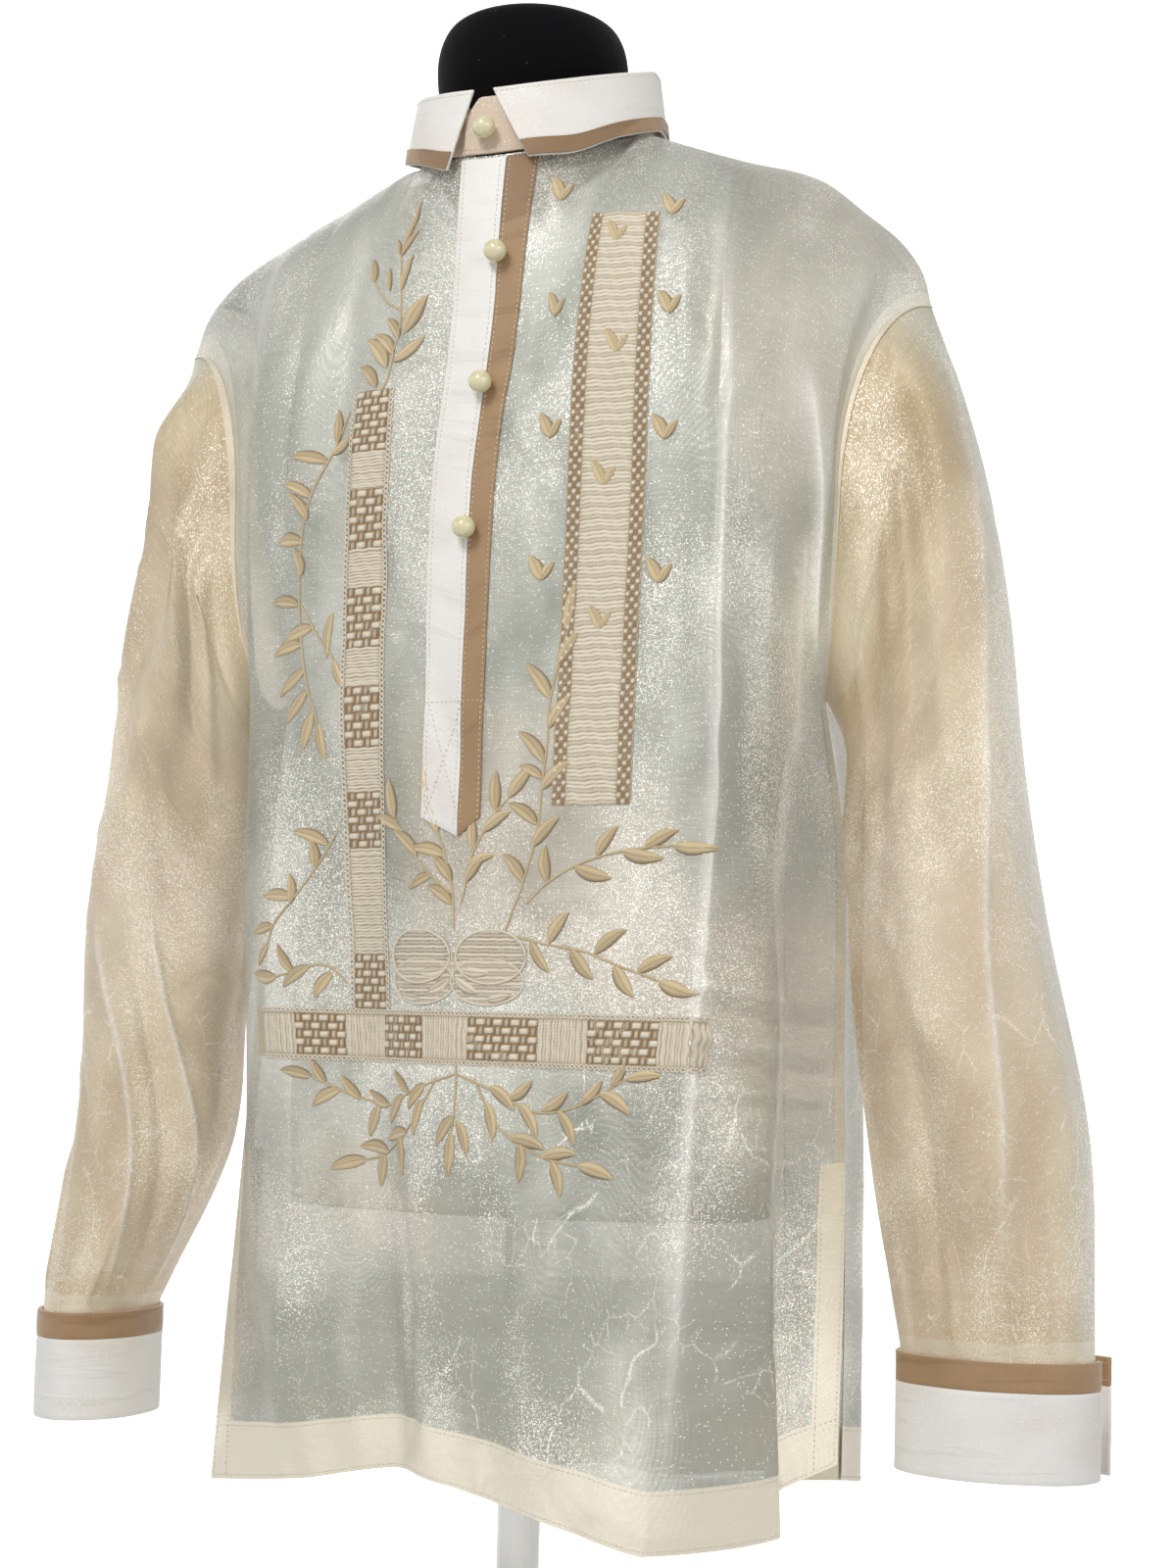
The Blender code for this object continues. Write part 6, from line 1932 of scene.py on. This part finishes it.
def make_buttonhole(sleeve, name, look):
    """Worked slit on the cuff's front: two rows of close bars, with a bar across each end."""
    stitches = Stitching()
    turns = np.linspace(CUFF_START_TURN, CUFF_END_TURN, CUFF_COLUMNS)
    ring = cuff_ring(sleeve, turns, 0.0, np.full(len(turns), CUFF_OUT))
    bars = np.linspace(*HOLE_TURNS, HOLE_BARS)
    spots = np.stack([np.interp(bars, turns, ring[:, 0]), np.interp(bars, turns, ring[:, 1]),
                      np.linspace(*HOLE_HEIGHTS, HOLE_BARS)], axis=1)
    along = spots[-1] - spots[0]
    along /= np.linalg.norm(along)
    away = np.array([along[1], -along[0], 0.0]) * -sleeve.side
    away /= np.linalg.norm(away)
    across = np.cross(away, along)
    spots += away * 0.8 * MM
    for edge in (-1, 1):
        for spot in spots:
            line = np.array([spot + across * edge * 0.3 * MM, spot + across * edge * 1.6 * MM])
            stitches.line(line, np.array([away, away]), 1.3 * MM, 1.5 * MM, 0.4 * MM)
    for spot in (spots[0], spots[-1]):
        line = np.array([spot - across * 1.7 * MM, spot + across * 1.7 * MM])
        stitches.line(line, np.array([away, away]), 3.4 * MM, 3.4 * MM, 0.4 * MM)
    return stitches.build(name, look)


# ---- collar and buttons
def collar_ring(turn, part):
    """Fall of the collar: part is 0 at its loose edge and 1 at its fold."""
    ring = neckline(turn)
    out = FALL_LOW_OUT + (FALL_TOP_OUT - FALL_LOW_OUT) * part
    away = ring - np.array([0, NECK_CENTRE_Y, 0])
    away[:, 2] = 0
    away = unit(away)
    ring += away * out
    drop = FALL_TIP_DROP * np.clip(np.cos(np.radians(turn)), 0, 1) ** 2
    drop += FALL_SAG * np.exp(-((turn - 40) / 13) ** 2)
    drop += FALL_SAG * np.exp(-((turn - 346) / 14) ** 2)
    ring[:, 2] += STAND_HEIGHT + FALL_TOP_UP - (FALL_HEIGHT + drop) * (1 - part)
    return ring


def make_collar(looks, stitches):
    """Stand round the neck, the fall that turns down over it and the fall's trim."""
    last = STAND_RIGHT_END + UNDERLAP
    turns = np.linspace(STAND_LEFT_END, last, 240)
    ends = smooth(np.minimum(turns - STAND_LEFT_END, last - turns) / STAND_END_TURN)
    under = smooth((turns - STAND_RIGHT_END + UNDERLAP) / UNDERLAP) * UNDERLAP_DEPTH
    rings = []
    for part in np.linspace(0, 1, 12):
        ring = neckline(turns)
        inward = np.array([0, NECK_CENTRE_Y, 0]) - ring
        inward[:, 2] = 0
        ring += unit(inward) * under[:, None]
        rounding = 1 - STAND_END_ROUND * (1 - ends) * part
        ring[:, 2] += STAND_SEAM + STAND_HEIGHT * part * rounding
        rings.append(ring)
    points = np.array(rings)
    normals = grid_normals(points)
    made = {"collar_stand": cloth_wall("collar_stand" + FINE, points, normals,
                                       -COLLAR / 2, COLLAR / 2, looks["stand"])}
    stitches.line(points[1] + normals[1] * COLLAR / 2, normals[1])
    steps = np.linspace(0, 1, 260)
    rings = []
    for part in np.linspace(0, 1, FALL_ROWS):
        first = FALL_LEFT_TIP + (FALL_LEFT_TOP - FALL_LEFT_TIP) * part
        last = FALL_RIGHT_TIP + (FALL_RIGHT_TOP - FALL_RIGHT_TIP) * part
        rings.append(collar_ring(first + (last - first) * steps, part))
    points = np.array(rings)
    normals = grid_normals(points)
    level = np.linspace(0, math.pi * 0.8, FALL_ROWS) + 0.5
    wave = np.sin(steps * 46.0)[None] * np.sin(level)[:, None]
    points = points + normals * (wave * FALL_RIPPLE)[..., None]
    made["collar_fall"] = cloth_wall("collar_fall" + FINE, points, normals, -COLLAR, 0.0,
                                     looks["white"], 0.7 * MM)
    trim = points[:5] + (points[1] - points[0])[None] * TRIM_LIFT
    made["collar_band"] = cloth_wall("collar_band" + FINE, trim, normals[:5],
                                     TRIM_GAP, TRIM_GAP + TRIM, looks["brown"])
    stitches.line(trim[4] + normals[4] * (TRIM_GAP + TRIM), normals[4])
    stitches.line(points[17], normals[17])
    return made


def make_buttons(drape, look):
    """Pearl buttons: round balls with a flattened back on a short thread shank."""
    panel = drape.panel
    u = panel.u_at(PLACKET_JOIN_X, BAND_REFERENCE_Z)
    away = LAYER_GAP * 2 + TRIM + BUTTON_RADIUS
    places = []
    for z in BUTTON_Z:
        v = panel.v_at(u, z)
        at = np.array([[u, u + 0.01], [u, u + 0.01]])
        points, normals = drape.surface(at, np.array([[v, v], [v + 0.01, v + 0.01]]))
        places.append((points[0, 0], normals[0, 0]))
    front = neckline(np.array([COLLAR_BUTTON_TURN]))[0]
    front[1] -= COLLAR / 2 + LAYER_GAP + BUTTON_RADIUS - away
    front[2] = COLLAR_BUTTON_Z
    places.insert(0, (front, np.array([0.0, -1.0, 0.0])))
    r = BUTTON_RADIUS
    turn = np.radians(np.linspace(-62, 89, 26))
    profile = [(r * 0.2, -r), (r * 0.22, -r * 0.9)]
    profile += [(r * math.cos(a), r * math.sin(a)) for a in turn]
    made = []
    for index, (point, normal) in enumerate(places):
        button = turned(f"button_{index + 1}{FINE}", profile, look)
        normal = Vector(normal).normalized()
        button.location = Vector(point) + normal * away
        button.rotation_euler = normal.to_track_quat("Z", "Y").to_euler()
        made.append(button)
    return made


# ---- form and stand
def make_torso(front, back, look):
    """Smooth torso of the form, closed at its foot and over its shoulders."""
    heights = [row[0] * MM for row in FORM_SECTIONS]
    sizes = np.array([row[1:] for row in FORM_SECTIONS], float) * MM
    sweep = np.linspace(-1, 1, FORM_COLUMNS) * math.pi / 2 * FORM_SWEEP
    rings = []
    for z in np.linspace(heights[0], heights[-1], FORM_ROWS_LOW):
        half, deep, behind = spline(heights, sizes, [z])[0]
        row = []
        for way, depth in ((1, deep), (-1, behind)):
            x = way * half * np.sin(sweep)
            y = -way * depth * np.cos(sweep) ** FORM_ROUNDNESS
            row.append(np.stack([x, y, np.full(FORM_COLUMNS, z)], -1))
        rings.append(np.concatenate(row))
    for v in np.linspace(1.0, 2.0, FORM_ROWS_HIGH):
        rings.append(np.concatenate([form_row(front, v), form_row(back, v)]))
    points = np.array(rings)
    rows, columns = points.shape[:2]
    points = np.concatenate([points, points[:, :1]], axis=1)
    faces = grid_faces(rows, columns + 1).tolist()
    faces.append(list(range(columns))[::-1])
    top = (rows - 1) * (columns + 1)
    for column in range(FORM_COLUMNS - 1):
        a = top + column
        d = top + 2 * FORM_COLUMNS - 1 - column
        faces.append([a, a + 1, d - 1, d])
    made = add_mesh("dress_form" + FINE, points.reshape(-1, 3), faces, look)
    weld = made.modifiers.new("join", "WELD")
    weld.merge_threshold = 0.01 * MM
    return made


def make_form_neck(look):
    """Neck of the form: it stands on the torso inside the collar and ends in a low dome."""
    sides = 112
    angle = np.linspace(0, 2 * math.pi, sides + 1)
    table = [(r, 0.0 if z is None else z, y) for r, z, y in FORM_NECK_RINGS]
    table = np.array(table, float) * MM
    first = table[0]
    level = np.arange(len(table))
    rings = []
    x = first[0] * np.cos(angle)
    y = first[2] + first[0] * np.sin(angle)
    floor = neck_floor(x, y) + NECK_SEAT
    rings.append(np.stack([x * 0.02, first[2] + (y - first[2]) * 0.02, floor], -1))
    rings.append(np.stack([x, y, floor], -1))
    for where in np.linspace(1, len(table) - 1, 60):
        radius, height, lean = spline(level[1:], table[1:], [where])[0]
        rings.append(np.stack([radius * np.cos(angle), lean + radius * np.sin(angle),
                               np.full(sides + 1, height)], -1))
    last = rings[-1]
    rings.append(last * [0.02, 0.02, 1] + [0, table[-1, 2] * 0.98, 0])
    points = np.array(rings)
    rows, columns = points.shape[:2]
    return add_mesh("form_neck" + FINE, points.reshape(-1, 3), grid_faces(rows, columns), look, 50)


# ---- scene
def set_camera():
    turn = math.radians(CAMERA_TURN)
    facing = turn - math.atan(CAMERA_PAN)
    tilt = math.radians(CAMERA_TILT)
    roll = math.radians(CAMERA_ROLL)
    place = Vector((CAMERA_DISTANCE * math.sin(turn), -CAMERA_DISTANCE * math.cos(turn),
                    CAMERA_HEIGHT))
    ahead = Vector((-math.sin(facing), math.cos(facing), 0.0))
    look = ahead * math.cos(tilt) + Vector((0, 0, math.sin(tilt)))
    right = Vector((math.cos(facing), math.sin(facing), 0.0))
    up = right.cross(look)
    level = right * math.cos(roll) + up * math.sin(roll)
    upright = up * math.cos(roll) - right * math.sin(roll)
    camera = add_object("camera", bpy.data.cameras.new("camera"))
    matrix = Matrix((level, upright, -look)).transposed().to_4x4()
    matrix.translation = place
    camera.matrix_world = matrix
    camera.data.sensor_fit = "VERTICAL"
    camera.data.sensor_height = SENSOR_HEIGHT
    camera.data.sensor_width = SENSOR_HEIGHT
    camera.data.lens = CAMERA_LENS
    bpy.context.scene.camera = camera


def add_lights():
    for name, place, target, power, size in LIGHTS:
        data = bpy.data.lights.new(name, "AREA")
        data.energy = power
        data.size = size
        light = add_object(name, data)
        light.location = place
        way = Vector(target) - Vector(place)
        light.rotation_euler = way.to_track_quat("-Z", "Y").to_euler()
    world = bpy.data.worlds.new("studio")
    world.use_nodes = True
    background = world.node_tree.nodes["Background"]
    background.inputs["Color"].default_value = WORLD_COLOUR
    background.inputs["Strength"].default_value = WORLD_STRENGTH
    bpy.context.scene.world = world


def add_backdrop():
    """Round pale studio floor that curves up into its wall."""
    look = Finish("studio", roughness=0.95)
    cloud = look.noise(look.place(), 1.5, 2.0)
    look.set(base_color=look.mix(colour(246, 246, 247), colour(252, 252, 252), cloud))
    look.shader.inputs["Emission Color"].default_value = (1.0, 1.0, 1.0, 1.0)
    look.shader.inputs["Emission Strength"].default_value = BACKDROP_GLOW
    arc = np.radians(np.linspace(-90, 0, 16))
    profile = [(0.02, 0.0), (1.0, 0.0), (2.6, 0.0)]
    profile += [(2.6 + 1.4 * math.cos(a), 1.4 + 1.4 * math.sin(a)) for a in arc]
    profile += [(4.0, 3.2)]
    sides = 96
    angle = np.linspace(0, 2 * math.pi, sides + 1)
    points = np.array([[(r * math.cos(a), r * math.sin(a), z) for a in angle]
                       for r, z in profile])
    floor = add_mesh("studio_floor", points.reshape(-1, 3),
                     grid_faces(len(profile), sides + 1), look.material)
    floor.visible_diffuse = False


def make_looks():
    def layers(look, u, v):
        """Doubled cloth: hem, vent facings and side seam allowances."""
        side = look.math("ABSOLUTE", u - 0.5)
        hem = 1.0 - look.step(v, HEM_V - 0.001, HEM_V + 0.001)
        facing = look.step(side, 0.5 - FACING_U - 0.0005, 0.5 - FACING_U + 0.0005)
        facing = facing * (1.0 - look.step(v, VENT_V - 0.001, VENT_V + 0.001))
        seam = look.step(side, 0.5 - 0.0145, 0.5 - 0.0138) * SEAM_VEIL
        return look.math("MAXIMUM", look.math("MAXIMUM", hem, facing), seam)

    def sleeve_layers(look, u, v):
        """Doubled cloth at the armhole and wrist seams."""
        head = 1.0 - look.step(v, 0.016, 0.018)
        wrist = look.step(v, 0.985, 0.988)
        return look.math("MAXIMUM", head * 0.7, wrist * 0.6)

    def body_tint_and_shade(look, u, v):
        """The body is a little cooler at the chest, and painted darker below the form as the shade
        inside the shirt.
        """
        return look.step(v, 0.6, 0.9) * 0.15, (1.0 - look.step(v, 0.12, 0.42)) * 0.26

    def sleeve_tint_and_shade(look, u, v):
        """The sleeves are painted cooler and darker along their outer side, as shade on the side
        turned from the light, and deeper round the elbow.
        """
        outer = (1.0 - look.step(look.math("ABSOLUTE", u - 1.0), 0.03, 0.13)) * 0.7
        return outer, look.step(v, 0.2, 0.42) * (1.0 - look.step(v, 0.6, 0.8)) * 0.2

    return {
        "sheer": organza("sheer", colour(220, 220, 208), colour(155, 156, 144), 0.74, 0.15,
                         layers, body_tint_and_shade, 0.22),
        "sheer_back": organza("sheer_back", colour(216, 216, 204), colour(160, 161, 149), 0.74,
                              0.15, layers, body_tint_and_shade, 0.22, 1.1),
        "sheer_warm": organza("sheer_warm", colour(232, 216, 182), colour(186, 164, 127), 0.76,
                              0.12, sleeve_layers, sleeve_tint_and_shade, 0.08),
        "hem": cotton("hem", colour(255, 246, 226), colour(232, 220, 196), 1300.0,
                      end_shade=0.75),
        "white": cotton("white", colour(255, 253, 249), colour(236, 234, 229), glint_amount=0.2),
        "stand": cotton("stand", colour(232, 214, 194), colour(196, 168, 140), glint_amount=0.12),
        "brown": cotton("brown", colour(178, 144, 104), colour(136, 102, 68), behind=0.45),
        "thread": satin_thread("thread", colour(246, 226, 184), colour(212, 184, 134),
                               colour(110, 84, 50)),
        "thread_pale": satin_thread("thread_pale", colour(255, 247, 230), colour(240, 224, 194),
                                    colour(140, 110, 68)),
        "ground": satin_thread("ground", colour(238, 226, 200), colour(212, 196, 164),
                               colour(160, 138, 102)),
        "pearl": pearl("pearl"),
        "velvet": velvet("velvet"),
        "cover": jersey_cover("cover"),
        "enamel": enamel("enamel"),
    }


def own(piece, slot):
    """Puts a piece on the one body and hides the node that it stands for; slot is not used."""
    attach(piece, "root")
    if piece.name.endswith(FINE):
        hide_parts(piece.name[:-len(FINE)])
    return piece


def main():
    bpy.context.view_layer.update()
    bpy.context.scene.view_settings.view_transform = "Standard"
    rng = np.random.default_rng(RANDOM_SEED)
    set_camera()
    add_lights()
    add_backdrop()
    looks = make_looks()
    front = Panel(FRONT_SECTIONS, FRONT_HEM, FRONT_TOP, FRONT_SHARP, FRONT_FOLDS, False)
    back = Panel(BACK_SECTIONS, BACK_HEM, BACK_TOP, BACK_SHARP, BACK_FOLDS, True)
    front_drape = Drape(front, FRONT_CREASES + crushes(rng, FRONT_CRUSH), FRONT_RIDGES)
    back_drape = Drape(back, BACK_CREASES + crushes(rng, BACK_CRUSH), BACK_RIDGES)
    stitches = Stitching()

    front_sheet = panel_sheet("front" + FINE, front_drape, looks["sheer"], FRONT_COLUMNS,
                              front_glint_density)
    back_sheet = panel_sheet("back" + FINE, back_drape, looks["sheer_back"], BACK_COLUMNS,
                             back_glint_density)
    for sheet in (front_sheet, back_sheet):
        own(sheet, "sheer").visible_shadow = False
    inner = {}
    for label, drape in (("front", front_drape), ("back", back_drape)):
        inner[label] = make_layers(drape, label, looks["hem"], looks["sheer"], stitches)
        for piece in inner[label]:
            own(piece, "sheer" if piece.name.startswith("seam") else "hem")

    chart = Chart(front_drape)
    placket = make_placket(front_drape, looks, stitches)
    own(placket["placket_panel"], "white")
    own(placket["placket_band"], "brown")
    works, grounds = make_bands(front_drape, chart, looks, rng)
    for work, ground in zip(works, grounds):
        own(work, "thread")
        own(ground, "thread")
    for name, make, look in (("leaf_sprays", make_sprays, "thread"),
                             ("bow_motif", make_bow, "thread_pale")):
        work = Needlework(chart, SPRAY_LIFT)
        make(work, rng)
        own(work.build(name, looks[look]), "thread")

    for label, side, rows in (("left", 1, LEFT_SLEEVE), ("right", -1, RIGHT_SLEEVE)):
        sleeve = Sleeve(rows, side)
        tube, seam = make_sleeve(sleeve, label, looks["sheer_warm"], rng)
        own(tube, "sheer_warm").visible_shadow = False
        own(seam, "sheer_warm")
        cuffs = make_cuff(sleeve, label, looks, stitches)
        own(cuffs["cuff_" + label], "white")
        own(cuffs["cuff_band_" + label], "brown")
        button = own(make_cuff_button(sleeve, label, looks["pearl"]), "pearl")
        if side < 0:
            hole = make_buttonhole(sleeve, "buttonhole_right", looks["thread"])
            own(hole, "thread")

    collar = make_collar(looks, stitches)
    for name, slot in (("collar_stand", "white"), ("collar_fall", "white"),
                       ("collar_band", "brown")):
        own(collar[name], slot)
    buttons = make_buttons(front_drape, looks["pearl"])
    for button in buttons:
        own(button, "pearl")
    sewing = own(stitches.build("top_stitching", looks["thread_pale"]), "thread")

    own(make_torso(front, back, looks["cover"]), "cover")
    own(make_form_neck(looks["velvet"]), "velvet")
    for name in ("stand_pole", "stand_base"):
        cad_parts[name].data.materials[0] = looks["enamel"]


main()
